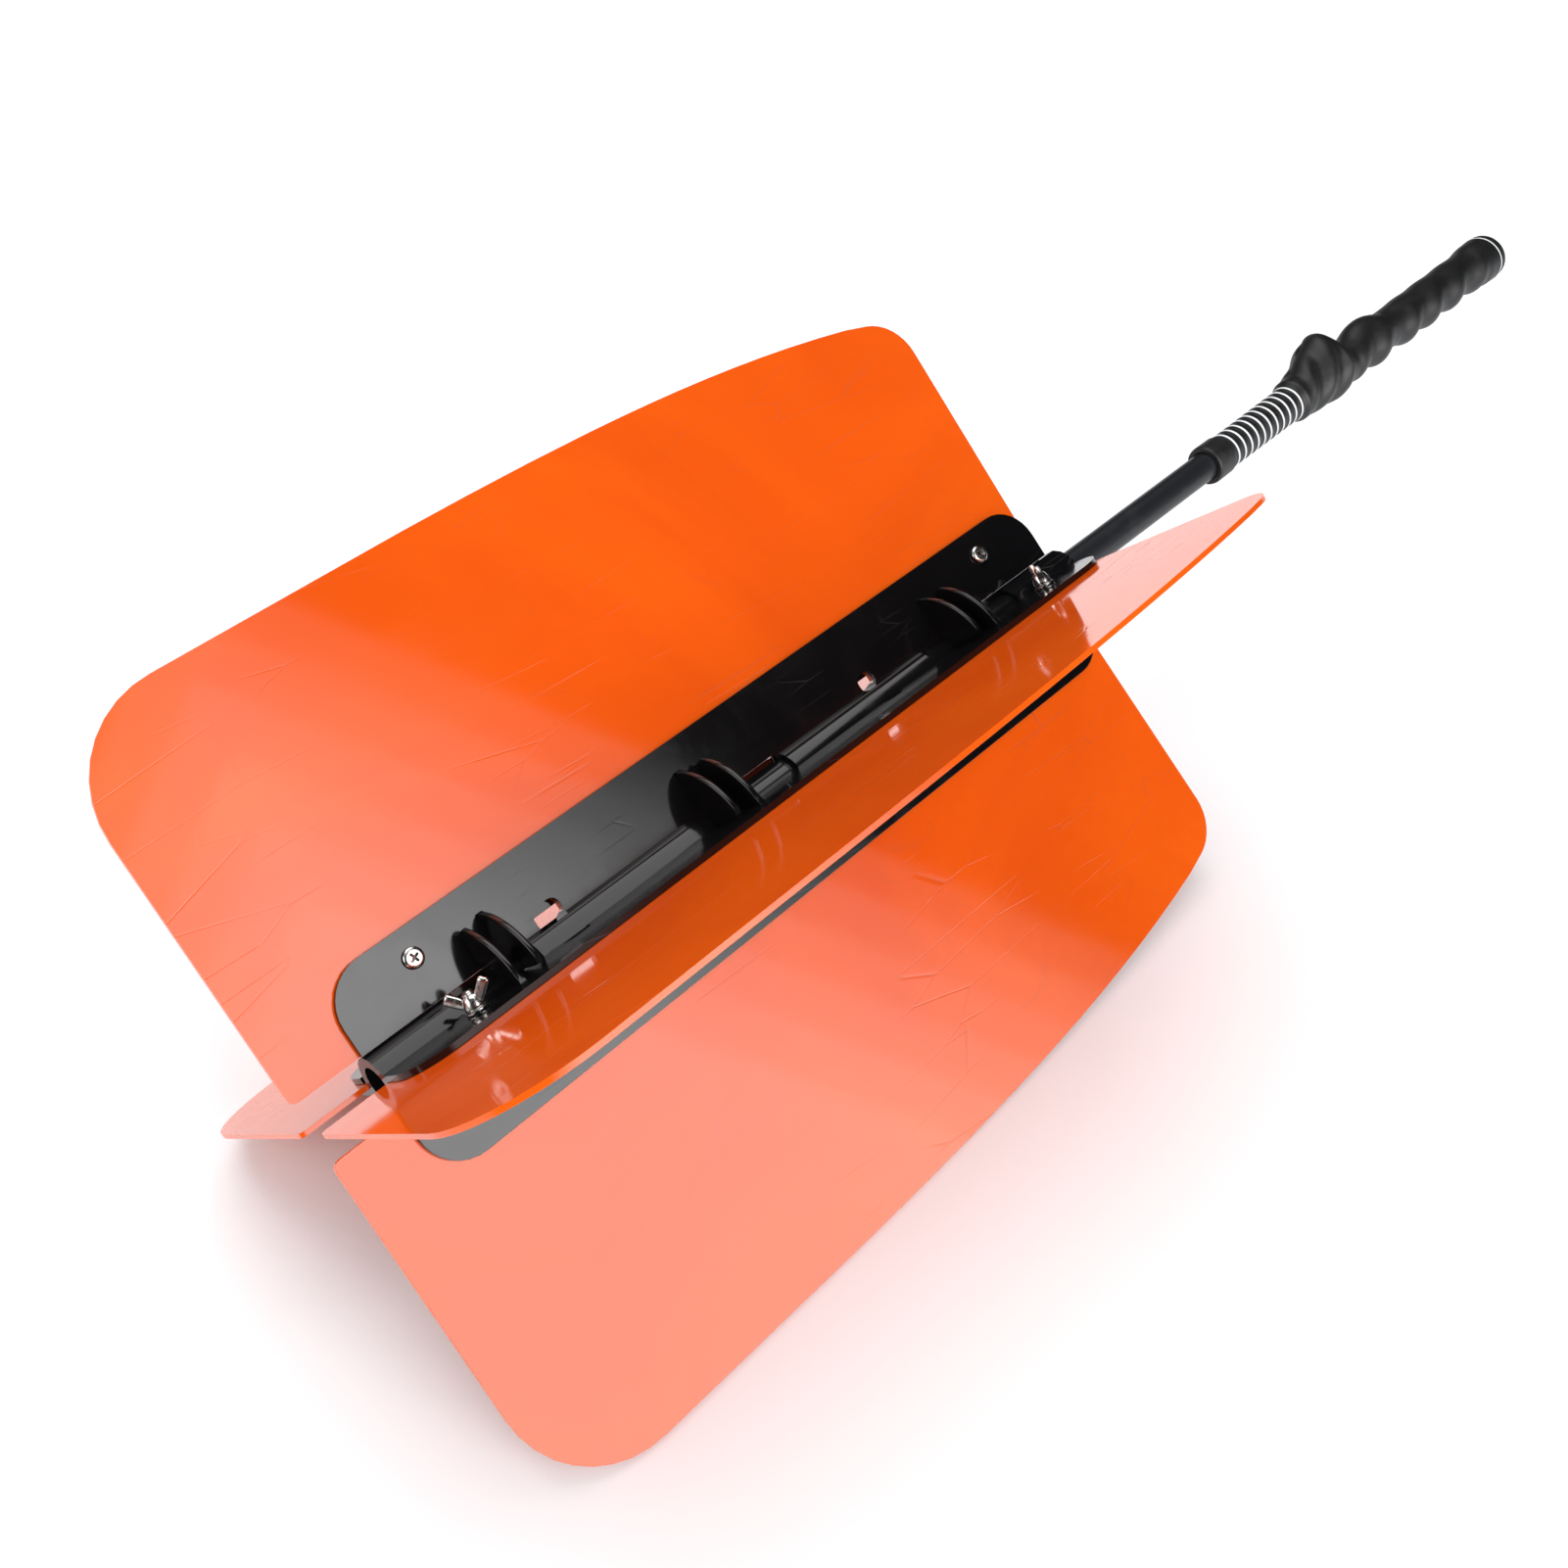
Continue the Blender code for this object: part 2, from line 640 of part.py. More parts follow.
def build_shaft(material, parent):
    wall = [(SHAFT_START, SHAFT_BORE_RADIUS), (SHAFT_START, SHAFT_RADIUS - SHAFT_CHAMFER),
            (SHAFT_START + SHAFT_CHAMFER, SHAFT_RADIUS), (SHAFT_FINISH, SHAFT_RADIUS),
            (SHAFT_FINISH, SHAFT_BORE_RADIUS)]
    mesh = mesh_from_shells("shaft_tube", [sleeve_ring(wall, SHAFT_SIDES, axial)])
    return new_object("shaft_tube", mesh, material, parent, 30.0)


def build_grip_cap(material, parent):
    start = GRIP_FINISH + TOUCH_GAP
    profile = [(start + CAP_LENGTH * along, CAP_RADIUS * share) for along, share in CAP_STEPS]
    mesh = mesh_from_shells("grip_cap", [turned(profile, SHAFT_SIDES, axial)])
    return new_object("grip_cap", mesh, material, parent, 30.0)


def build_shaft_plug(material, parent):
    # A push-in plug that closes the shaft's hidden end.
    start = SHAFT_START + PLUG_INSET
    profile = [(start, PLUG_RADIUS), (start + PLUG_LENGTH, PLUG_RADIUS * PLUG_TAPER)]
    mesh = mesh_from_shells("shaft_plug", [turned(profile, BORE_SIDES, axial)])
    return new_object("shaft_plug", mesh, material, parent, 30.0)


def hub_height():
    # The lowest point of a lower vane: the farthest edge of its curve, at the hub's tilt.
    best = max(vane_edge(VANE_LENGTH * step / 200) for step in range(22, 185))
    return best * math.sin(HUB_TILT) + VANE_THICKNESS / 2 * math.cos(HUB_TILT)


def make_axis(name, turn):
    # An empty on the shaft's axis, which carries one half's pieces.
    axis = bpy.data.objects.new(name, None)
    bpy.context.scene.collection.objects.link(axis)
    axis.location = (-(GRIP_FINISH + TOUCH_GAP + CAP_LENGTH) / 2, 0.0, hub_height())
    axis.rotation_euler = (turn, 0.0, 0.0)
    return axis


def build_halves(materials, fixed_axis, turning_axis):
    # The two hub mouldings, then each vane with its backing plate and its two screws.
    build_core("fixed_hub", False, FIXED_KNUCKLES, FIXED_FULL_SPANS, FIXED_STOPS,
               materials["black"], fixed_axis)
    build_core("turning_hub", True, TURNING_KNUCKLES, TURNING_FULL_SPANS, TURNING_STOPS,
               materials["black"], turning_axis)
    screw = screw_mesh()
    vanes = (("turning_upper", True, 1, False), ("turning_lower", True, -1, True),
             ("fixed_upper", False, 1, True), ("fixed_lower", False, -1, False))
    for name, turning, side, heads_behind in vanes:
        bolted = name == "fixed_upper"
        axis = turning_axis if turning else fixed_axis
        build_vane(name + "_vane", turning, side, bolted, materials["orange"], axis)
        build_backing(name + "_backing", turning, side, bolted, materials["black"], axis)
        # Two vanes have their screw heads on the hub plate, and two on the backing plate.
        face = outer_face() + TOUCH_GAP
        if heads_behind:
            face = -face
        for end, along in zip(("free_end", "grip_end"), SCREW_PLACES):
            item = new_object(name + "_screw_" + end, screw.copy(), materials["bright"], axis, 35.0)
            item.matrix_local = plane_frame(turning, side, along, SCREW_RADIUS_OUT, face, heads_behind)


def build_clamps(bright, axis):
    # A bolt, a washer and a wing nut near each end of the upper fixed vane.
    bolt = bolt_mesh()
    washer = washer_mesh()
    wing = wing_nut_mesh()
    seat = outer_face() + TOUCH_GAP
    nut_base = seat + WASHER_THICKNESS + TOUCH_GAP
    for end, along, rest in zip(("free_end", "grip_end"), BOLT_PLACES, NUT_REST_ANGLES):
        bolt_item = new_object("clamp_bolt_" + end, bolt.copy(), bright, axis, 35.0)
        bolt_item.matrix_local = plane_frame(False, 1, along, BOLT_RADIUS_OUT, -seat, False)
        washer_item = new_object("flat_washer_" + end, washer.copy(), bright, axis, 35.0)
        washer_item.matrix_local = plane_frame(False, 1, along, BOLT_RADIUS_OUT, seat, False)
        nut_item = new_object("wing_nut_" + end, wing.copy(), bright, axis, 35.0)
        turn = Matrix.Rotation(rest, 4, "Z")
        nut_item.matrix_local = plane_frame(False, 1, along, BOLT_RADIUS_OUT, nut_base, False) @ turn


def main():
    clear_scene()
    materials = {
        "orange": make_material("vane_orange", ORANGE, 0.16, 0.0),
        "black": make_material("hub_black", BLACK, 0.22, 0.0),
        "graphite": make_material("shaft_graphite", GRAPHITE, 0.35, 0.4),
        "rubber": make_material("grip_rubber", RUBBER, 0.65, 0.0),
        "bright": make_material("bright_plate", BRIGHT, 0.18, 1.0),
    }
    turning_axis = make_axis("turning_axis", HUB_TILT)
    grip_axis = make_axis("grip_axis", HUB_TILT)
    fixed_axis = make_axis("fixed_axis", HUB_TILT + FIXED_TURN)
    build_halves(materials, fixed_axis, turning_axis)
    build_clamps(materials["bright"], fixed_axis)
    build_shaft(materials["graphite"], grip_axis)
    build_shaft_plug(materials["black"], grip_axis)
    build_grip(materials["rubber"], grip_axis)
    build_grip_cap(materials["rubber"], grip_axis)


main()
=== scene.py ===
import json
import math

import bmesh
import bpy
from mathutils import Matrix, Vector


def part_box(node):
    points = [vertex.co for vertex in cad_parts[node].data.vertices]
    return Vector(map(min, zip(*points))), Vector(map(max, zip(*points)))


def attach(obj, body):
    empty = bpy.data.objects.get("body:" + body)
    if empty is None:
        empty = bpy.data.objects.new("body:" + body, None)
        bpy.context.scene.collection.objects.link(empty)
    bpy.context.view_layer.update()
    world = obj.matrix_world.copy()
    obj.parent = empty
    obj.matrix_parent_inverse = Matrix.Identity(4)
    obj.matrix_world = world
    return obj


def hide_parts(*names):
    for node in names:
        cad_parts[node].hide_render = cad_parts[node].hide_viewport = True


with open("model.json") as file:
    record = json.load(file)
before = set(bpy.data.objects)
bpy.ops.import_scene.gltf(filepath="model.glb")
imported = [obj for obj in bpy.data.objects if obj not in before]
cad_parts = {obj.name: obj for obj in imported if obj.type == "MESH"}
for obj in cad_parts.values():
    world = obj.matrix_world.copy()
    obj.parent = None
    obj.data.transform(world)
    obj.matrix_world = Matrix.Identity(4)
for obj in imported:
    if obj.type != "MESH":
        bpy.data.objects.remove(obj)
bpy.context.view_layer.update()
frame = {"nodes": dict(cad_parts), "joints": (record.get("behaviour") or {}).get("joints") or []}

nodes = frame["nodes"]
print("frame loaded:", len(nodes), "pieces")


# the hub's own directions: along = distance from the vanes' free end,
# side = towards the upper turning vane, up = towards the upper fixed vane
foldJoint = [joint for joint in frame["joints"] if joint["name"] == "vane_fold"][0]
hub = {
    "startX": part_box("turning_upper_vane")[0].x,
    "height": foldJoint["pos_m"][2],
    "tilt": math.radians(43.75),      # from level to the turning vanes
    "fixedTurn": math.radians(2.5),   # the fixed half stands a little more than square
}
hubPlace = Matrix.Translation((hub["startX"], 0, hub["height"]))
hubMatrix = hubPlace @ Matrix.Rotation(hub["tilt"], 4, "X")
fixedMatrix = hubMatrix @ Matrix.Rotation(hub["fixedTurn"], 4, "X")


def hubPoint(along, side, up):
    return hubMatrix @ Vector((along, side, up))


camera = {
    "place": (-0.5520, -0.3791, 0.6258),
    "aim": (-0.1417, 0.0383, 0.1097),
    "roll": math.radians(-2.54),
    "lens": 41.81,        # millimetres, on a sensor 36 wide
    "shiftX": 0.0055,
    "shiftY": -0.0504,
}


def makeCamera(settings):
    data = bpy.data.cameras.new("camera")
    data.sensor_width = 36
    data.lens = settings["lens"]
    data.shift_x = settings["shiftX"]
    data.shift_y = settings["shiftY"]
    data.clip_start = 0.01
    item = bpy.data.objects.new("camera", data)
    bpy.context.scene.collection.objects.link(item)
    place = Vector(settings["place"])
    facing = (Vector(settings["aim"]) - place).to_track_quat("-Z", "Y").to_matrix().to_4x4()
    item.matrix_world = Matrix.Translation(place) @ facing @ Matrix.Rotation(settings["roll"], 4, "Z")
    bpy.context.scene.camera = item


makeCamera(camera)
print("camera placed")


def newMaterial(name):
    material = bpy.data.materials.new(name)
    material.use_nodes = True
    tree = material.node_tree
    return material, tree, tree.nodes["Principled BSDF"]


def addNode(tree, kind, **settings):
    node = tree.nodes.new(kind)
    for key, value in settings.items():
        setattr(node, key, value)
    return node


def objectSpace(tree, scale=(1, 1, 1), turn=(0, 0, 0), shift=(0, 0, 0)):
    # object coordinates, stretched and turned
    source = addNode(tree, "ShaderNodeTexCoord")
    mapping = addNode(tree, "ShaderNodeMapping")
    mapping.inputs["Location"].default_value = shift
    mapping.inputs["Rotation"].default_value = turn
    mapping.inputs["Scale"].default_value = scale
    tree.links.new(source.outputs["Object"], mapping.inputs["Vector"])
    return mapping.outputs["Vector"]


def noise(tree, vector, scale, detail=3, roughness=0.5, distortion=0):
    node = addNode(tree, "ShaderNodeTexNoise")
    node.inputs["Scale"].default_value = scale
    node.inputs["Detail"].default_value = detail
    node.inputs["Roughness"].default_value = roughness
    node.inputs["Distortion"].default_value = distortion
    tree.links.new(vector, node.inputs["Vector"])
    return node.outputs["Fac"]


def remap(tree, value, low, high, newLow=0, newHigh=1):
    node = addNode(tree, "ShaderNodeMapRange", clamp=True)
    node.inputs["From Min"].default_value = low
    node.inputs["From Max"].default_value = high
    node.inputs["To Min"].default_value = newLow
    node.inputs["To Max"].default_value = newHigh
    tree.links.new(value, node.inputs["Value"])
    return node.outputs["Result"]


def maths(tree, operation, first, second):
    node = addNode(tree, "ShaderNodeMath", operation=operation)
    for socket, value in zip(node.inputs, (first, second)):
        if isinstance(value, (int, float)):
            socket.default_value = value
        else:
            tree.links.new(value, socket)
    return node.outputs["Value"]


def blendColour(tree, share, first, second):
    node = addNode(tree, "ShaderNodeMix", data_type="RGBA")
    tree.links.new(share, node.inputs["Factor"])
    colourSockets = [socket for socket in node.inputs if socket.type == "RGBA"]
    for socket, value in zip(colourSockets, (first, second)):
        if isinstance(value, tuple):
            socket.default_value = (*value, 1)
        else:
            tree.links.new(value, socket)
    return [socket for socket in node.outputs if socket.type == "RGBA"][0]


def bump(tree, shader, height, strength, distance):
    node = addNode(tree, "ShaderNodeBump")
    node.inputs["Strength"].default_value = strength
    node.inputs["Distance"].default_value = distance
    tree.links.new(height, node.inputs["Height"])
    tree.links.new(node.outputs["Normal"], shader.inputs["Normal"])


scratchSettings = {
    "stretch": 9,
    "patchScale": 14,              # the hairlines show only in patches
    "patchShare": (0.54, 0.66),
}


def scratches(tree, turn, cells, width, shift):
    # long straight hairlines: the borders of stretched cells, broken up by a cloud
    vector = objectSpace(tree, (1, scratchSettings["stretch"], 1), (-hub["tilt"], 0, turn), shift)
    cell = addNode(tree, "ShaderNodeTexVoronoi", feature="DISTANCE_TO_EDGE")
    cell.inputs["Scale"].default_value = cells
    tree.links.new(vector, cell.inputs["Vector"])
    line = remap(tree, cell.outputs["Distance"], 0, width, 1, 0)
    cloud = noise(tree, objectSpace(tree, shift=shift), scratchSettings["patchScale"], 2)
    return maths(tree, "MULTIPLY", line, remap(tree, cloud, *scratchSettings["patchShare"]))


def crossedScratches(tree, scratchSets):
    # two sets of hairlines that cross each other
    return maths(tree, "MAXIMUM", *[scratches(tree, *scratchSet) for scratchSet in scratchSets])


orangeSettings = {
    "colour": (0.86, 0.118, 0.006),
    "deepColour": (0.74, 0.085, 0.005),
    "scuffColour": (0.62, 0.10, 0.03),
    "gloss": 0.055,
    "scuffGloss": 0.13,
    "ior": 1.5,
    "scratchDepth": 0.00006,
    "scratchTint": 0.45,
    "scratchSets": ((0.5, 9, 0.012, (0.3, 0.1, 0)),        # turn, cells, width, shift
                    (-0.9, 7, 0.010, (0.7, 0.4, 0.2))),
    "cloudScale": 5.5,
    "cloudRange": (0.35, 0.7),
    "smudgeTurn": 1.15,
    "smudgeStretch": 3.2,
    "smudgeScale": 13,
    "smudgeRange": (0.60, 0.78, 0, 0.50),
    "smearScale": 17,
    "smearRange": (0.4, 0.75),
    "smearShare": 0.6,
    "waveScale": 8,
    "waveShare": 1.2,
    "bumpStrength": 0.5,
}


def makeOrange(settings):
    material, tree, shader = newMaterial("glossy orange sheet")
    flat = objectSpace(tree, turn=(-hub["tilt"], 0, 0))
    cloud = remap(tree, noise(tree, flat, settings["cloudScale"], 4, 0.55, 1.2), *settings["cloudRange"])
    body = blendColour(tree, cloud, settings["colour"], settings["deepColour"])
    marks = crossedScratches(tree, settings["scratchSets"])
    askew = objectSpace(tree, (1, settings["smudgeStretch"], 1), (-hub["tilt"], 0, settings["smudgeTurn"]))
    smudge = noise(tree, askew, settings["smudgeScale"], 6, 0.72, 2.2)
    stain = remap(tree, smudge, *settings["smudgeRange"])
    dirt = maths(tree, "MAXIMUM", maths(tree, "MULTIPLY", marks, settings["scratchTint"]), stain)
    tree.links.new(blendColour(tree, dirt, body, settings["scuffColour"]), shader.inputs["Base Color"])
    smear = remap(tree, noise(tree, flat, settings["smearScale"], 4, 0.6, 1.0), *settings["smearRange"])
    rough = maths(tree, "MAXIMUM", maths(tree, "MULTIPLY", smear, settings["smearShare"]), marks)
    tree.links.new(remap(tree, rough, 0, 1, settings["gloss"], settings["scuffGloss"]),
                   shader.inputs["Roughness"])
    wave = maths(tree, "MULTIPLY", noise(tree, flat, settings["waveScale"], 1), settings["waveShare"])
    height = maths(tree, "SUBTRACT", wave, marks)
    bump(tree, shader, height, settings["bumpStrength"], settings["scratchDepth"])
    shader.inputs["IOR"].default_value = settings["ior"]
    return material


blackSettings = {
    "colour": (0.0048, 0.0046, 0.0052),
    "wornColour": (0.024, 0.023, 0.024),
    "gloss": 0.085,
    "wornGloss": 0.26,
    "ior": 1.52,
    "scratchDepth": 0.00005,
    "scratchSets": ((0.35, 22, 0.014, (0.2, 0.6, 0.1)),    # turn, cells, width, shift
                    (-1.1, 17, 0.012, (0.5, 0.9, 0.4))),
    "cloudScale": 30,
    "cloudRange": (0.42, 0.78),
    "cloudShare": 0.55,
    "waveShare": 0.3,
    "bumpStrength": 0.4,
}


def makeBlack(settings):
    material, tree, shader = newMaterial("glossy black moulding")
    flat = objectSpace(tree, turn=(-hub["tilt"], 0, 0))
    marks = crossedScratches(tree, settings["scratchSets"])
    cloud = remap(tree, noise(tree, flat, settings["cloudScale"], 4, 0.6, 0.8), *settings["cloudRange"])
    tree.links.new(blendColour(tree, marks, settings["colour"], settings["wornColour"]),
                   shader.inputs["Base Color"])
    rough = maths(tree, "MAXIMUM", maths(tree, "MULTIPLY", cloud, settings["cloudShare"]), marks)
    tree.links.new(remap(tree, rough, 0, 1, settings["gloss"], settings["wornGloss"]),
                   shader.inputs["Roughness"])
    height = maths(tree, "SUBTRACT", maths(tree, "MULTIPLY", cloud, settings["waveShare"]), marks)
    bump(tree, shader, height, settings["bumpStrength"], settings["scratchDepth"])
    shader.inputs["IOR"].default_value = settings["ior"]
    return material


shaftSettings = {
    "colour": (0.017, 0.018, 0.021),
    "wornColour": (0.036, 0.038, 0.042),
    "gloss": 0.33,
    "wornGloss": 0.5,
    "metallic": 0.35,
    "grainScale": (40, 900, 900),   # drawn out along the shaft
    "grainShare": 0.6,
    "grainDepth": 0.00002,
    "bumpStrength": 0.15,
    "wornScale": 60,
    "wornRange": (0.55, 0.85),
}


def makeShaftFinish(settings):
    material, tree, shader = newMaterial("satin graphite coating")
    space = objectSpace(tree)
    grain = noise(tree, objectSpace(tree, settings["grainScale"]), 1, 3)
    worn = remap(tree, noise(tree, space, settings["wornScale"], 5, 0.7), *settings["wornRange"])
    tree.links.new(blendColour(tree, worn, settings["colour"], settings["wornColour"]),
                   shader.inputs["Base Color"])
    rough = maths(tree, "ADD", maths(tree, "MULTIPLY", grain, settings["grainShare"]), worn)
    tree.links.new(remap(tree, rough, 0.2, 1.2, settings["gloss"], settings["wornGloss"]),
                   shader.inputs["Roughness"])
    bump(tree, shader, grain, settings["bumpStrength"], settings["grainDepth"])
    shader.inputs["Metallic"].default_value = settings["metallic"]
    return material


rubberSettings = {
    "colour": (0.0058, 0.0058, 0.0064),
    "dustColour": (0.013, 0.013, 0.014),
    "gloss": 0.46,
    "dustGloss": 0.66,
    "grain": 3200,
    "depth": 0.00006,
    "bumpStrength": 0.35,
    "dustScale": 90,
    "dustRange": (0.5, 0.85),
}


def makeRubber(settings):
    material, tree, shader = newMaterial("matt moulded rubber")
    space = objectSpace(tree)
    grain = noise(tree, space, settings["grain"], 2, 0.6)
    dust = remap(tree, noise(tree, space, settings["dustScale"], 5, 0.65), *settings["dustRange"])
    tree.links.new(blendColour(tree, dust, settings["colour"], settings["dustColour"]),
                   shader.inputs["Base Color"])
    tree.links.new(remap(tree, dust, 0, 1, settings["gloss"], settings["dustGloss"]),
                   shader.inputs["Roughness"])
    bump(tree, shader, grain, settings["bumpStrength"], settings["depth"])
    return material


paintSettings = {
    "colour": (0.86, 0.86, 0.87),
    "dirtColour": (0.50, 0.50, 0.51),
    "gloss": 0.38,
    "dirtGloss": 0.6,
    "dirtScale": 260,
    "dirtRange": (0.55, 0.8, 0, 0.5),
}


def makePaint(settings):
    material, tree, shader = newMaterial("white ring paint")
    space = objectSpace(tree)
    dirt = remap(tree, noise(tree, space, settings["dirtScale"], 4, 0.7), *settings["dirtRange"])
    tree.links.new(blendColour(tree, dirt, settings["colour"], settings["dirtColour"]),
                   shader.inputs["Base Color"])
    tree.links.new(remap(tree, dirt, 0, settings["dirtRange"][3], settings["gloss"], settings["dirtGloss"]),
                   shader.inputs["Roughness"])
    return material


nickelSettings = {
    "colour": (0.78, 0.765, 0.74),
    "dullColour": (0.52, 0.50, 0.47),
    "gloss": 0.22,
    "dullGloss": 0.40,
    "dullScale": 420,
    "dullRange": (0.48, 0.75),
    "grainScale": 900,
    "grainDepth": 0.00004,
    "bumpStrength": 0.25,
}


def makeNickel(settings):
    material, tree, shader = newMaterial("bright nickel plating")
    space = objectSpace(tree)
    dull = remap(tree, noise(tree, space, settings["dullScale"], 5, 0.65), *settings["dullRange"])
    tree.links.new(blendColour(tree, dull, settings["colour"], settings["dullColour"]),
                   shader.inputs["Base Color"])
    tree.links.new(remap(tree, dull, 0, 1, settings["gloss"], settings["dullGloss"]),
                   shader.inputs["Roughness"])
    grain = noise(tree, space, settings["grainScale"], 3)
    bump(tree, shader, grain, settings["bumpStrength"], settings["grainDepth"])
    shader.inputs["Metallic"].default_value = 1
    return material


orange = makeOrange(orangeSettings)
black = makeBlack(blackSettings)
graphite = makeShaftFinish(shaftSettings)
rubber = makeRubber(rubberSettings)
paint = makePaint(paintSettings)
nickel = makeNickel(nickelSettings)
print("finishes made")


def addPiece(name, mesh, material, body, slotName, *replaced):
    mesh.materials.clear()
    mesh.materials.append(material)
    item = bpy.data.objects.new(name, mesh)
    bpy.context.scene.collection.objects.link(item)
    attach(item, body)
    if replaced:
        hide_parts(*replaced)
    return item


def finishMesh(name, work, smoothAngle):
    bmesh.ops.recalc_face_normals(work, faces=work.faces)
    mesh = bpy.data.meshes.new(name)
    work.to_mesh(mesh)
    work.free()
    mesh.shade_smooth()
    mesh.set_sharp_from_angle(angle=math.radians(smoothAngle))
    return mesh


def loft(name, rings, closedLoop=False, smoothAngle=40):
    # joins rings of points; ends are capped unless the loft closes on itself
    work = bmesh.new()
    rows = [[work.verts.new(point) for point in ring] for ring in rings]
    sides = len(rows[0])
    last = len(rows) if closedLoop else len(rows) - 1
    for index in range(last):
        lower = rows[index]
        upper = rows[(index + 1) % len(rows)]
        for side in range(sides):
            after = (side + 1) % sides
            work.faces.new((lower[side], lower[after], upper[after], upper[side]))
    if not closedLoop:
        work.faces.new(rows[0])
        work.faces.new(list(reversed(rows[-1])))
    return finishMesh(name, work, smoothAngle)


def lathe(name, profile, sides, place, closedLoop=False, smoothAngle=35):
    # profile: (height, radius); place turns (x, y, height) into a point
    rings = []
    for height, radius in profile:
        turns = [math.tau * side / sides for side in range(sides)]
        ring = [Vector((radius * math.cos(turn), radius * math.sin(turn), height)) for turn in turns]
        rings.append([place(point) for point in ring])
    return loft(name, rings, closedLoop, smoothAngle)


cleaning = {
    "mergeWithin": 0.00001,
    "flatWithin": 0.6,    # degrees; faces this near to level with each other become one
}


def cleanCopy(nodeName, edge, rims):
    # the CAD piece with flat faces joined up, and its rims marked for the wider rounding
    work = bmesh.new()
    work.from_mesh(nodes[nodeName].data)
    bmesh.ops.remove_doubles(work, verts=work.verts, dist=cleaning["mergeWithin"])
    bmesh.ops.dissolve_limit(work, angle_limit=math.radians(cleaning["flatWithin"]), verts=work.verts,
                             edges=work.edges)
    weight = work.edges.layers.float.new("bevel_weight_edge")
    for line in work.edges:
        sharp = line.is_manifold and line.calc_face_angle() > math.radians(edge["angle"])
        if rims and sharp and rims["test"](line):
            line[weight] = 1
    mesh = bpy.data.meshes.new(nodeName + "_rounded")
    work.to_mesh(mesh)
    work.free()
    mesh.shade_smooth()
    return mesh


def roundedCopy(nodeName, material, body, slotName, edge, rims=None):
    # the CAD piece with its sharp edges rounded off; rims says which edges are rounded more
    scratch = bpy.data.objects.new(nodeName + "_scratch", cleanCopy(nodeName, edge, rims))
    bpy.context.scene.collection.objects.link(scratch)
    if rims:
        rimRound = scratch.modifiers.new("rims", "BEVEL")
        rimRound.width = rims["radius"]
        rimRound.segments = rims["segments"]
        rimRound.limit_method = "WEIGHT"
        rimRound.use_clamp_overlap = False
    edgeRound = scratch.modifiers.new("edges", "BEVEL")
    edgeRound.width = edge["radius"]
    edgeRound.segments = edge["segments"]
    edgeRound.limit_method = "ANGLE"
    edgeRound.angle_limit = math.radians(edge["angle"])
    flatten = scratch.modifiers.new("flat faces", "WEIGHTED_NORMAL")
    flatten.mode = "FACE_AREA"
    flatten.weight = 100
    graph = bpy.context.evaluated_depsgraph_get()
    graph.update()
    finished = bpy.data.meshes.new_from_object(scratch.evaluated_get(graph))
    bpy.data.objects.remove(scratch)
    finished.name = nodeName + "_rounded"
    return addPiece(nodeName + "_detail", finished, material, body, slotName, nodeName)


# edges sharper than the angle, in degrees, are rounded
vaneEdge = {"radius": 0.0005, "segments": 3, "angle": 24}
plateEdge = {"radius": 0.0005, "segments": 3, "angle": 24}
hubEdge = {"radius": 0.0003, "segments": 2, "angle": 30}

# the stop discs' rims lie from one distance to the other from the shaft, and clear of the plates
discRim = {
    "radius": 0.00105,
    "segments": 5,
    "from": 0.0270,
    "to": 0.0298,
    "clear": 0.0042,
    "level": 0.0001,
}

halves = (("turning_upper", "turning_half"), ("turning_lower", "turning_half"),
          ("fixed_upper", "fixed_half"), ("fixed_lower", "fixed_half"))
mouldings = (("fixed_hub", "fixed_half", fixedMatrix), ("turning_hub", "turning_half", hubMatrix))


def discRimTest(matrix, settings):
    # true for the edges round the curved rims of the stop discs
    inverse = matrix.inverted()

    def test(edge):
        places = [inverse @ vertex.co for vertex in edge.verts]
        onRim = all(settings["from"] < math.hypot(place.y, place.z) < settings["to"] for place in places)
        offPlates = all(min(abs(place.y), abs(place.z)) > settings["clear"] for place in places)
        return onRim and offPlates and abs(places[0].x - places[1].x) < settings["level"]

    return test


for name, body in halves:
    roundedCopy(name + "_vane", orange, body, "vane_orange", vaneEdge)
    roundedCopy(name + "_backing", black, body, "hub_black", plateEdge)
for name, body, matrix in mouldings:
    rims = {**discRim, "test": discRimTest(matrix, discRim)}
    roundedCopy(name, black, body, "hub_black", hubEdge, rims)

# painted shade: dark strips that shade the slots between the fixed sleeves and the turning plates, black
# sheets standing in for the shade there and hiding the light seen through the slots
slotShadeStrip = {
    "spans": ((0.0290, 0.0875), (0.1965, 0.2325), (0.3425, 0.4115)),
    "inner": 0.01178,
    "outer": 0.0146,
    "top": -0.00115,
    "bottom": -0.0030,
}


# one strip of painted shade: a black sheet under a slot, where the real hub has only shade
def makeSlotShadeStrip(name, span, side, settings):
    corners = ((settings["inner"], settings["top"]), (settings["outer"], settings["top"]),
               (settings["outer"], settings["bottom"]), (settings["inner"], settings["bottom"]))
    rings = [[hubPoint(along, side * out, side * up) for out, up in corners] for along in span]
    addPiece(name, loft(name, rings), black, "turning_half", "hub_black")


for index, span in enumerate(slotShadeStrip["spans"]):
    makeSlotShadeStrip("upper_slot_shade_strip_" + str(index + 1), span, 1, slotShadeStrip)
    makeSlotShadeStrip("lower_slot_shade_strip_" + str(index + 1), span, -1, slotShadeStrip)
print("vanes and hub mouldings made")


def smoothStep(value):
    # eases from 0 to 1
    value = min(max(value, 0), 1)
    return value * value * (3 - 2 * value)


def axisFrame(point, direction):
    # a frame whose own Z is the direction and whose own X runs along the hub
    along = Vector((1, 0, 0))
    across = direction.cross(along)
    turned = Matrix((along, across, direction)).transposed().to_4x4()
    return Matrix.Translation(point) @ turned


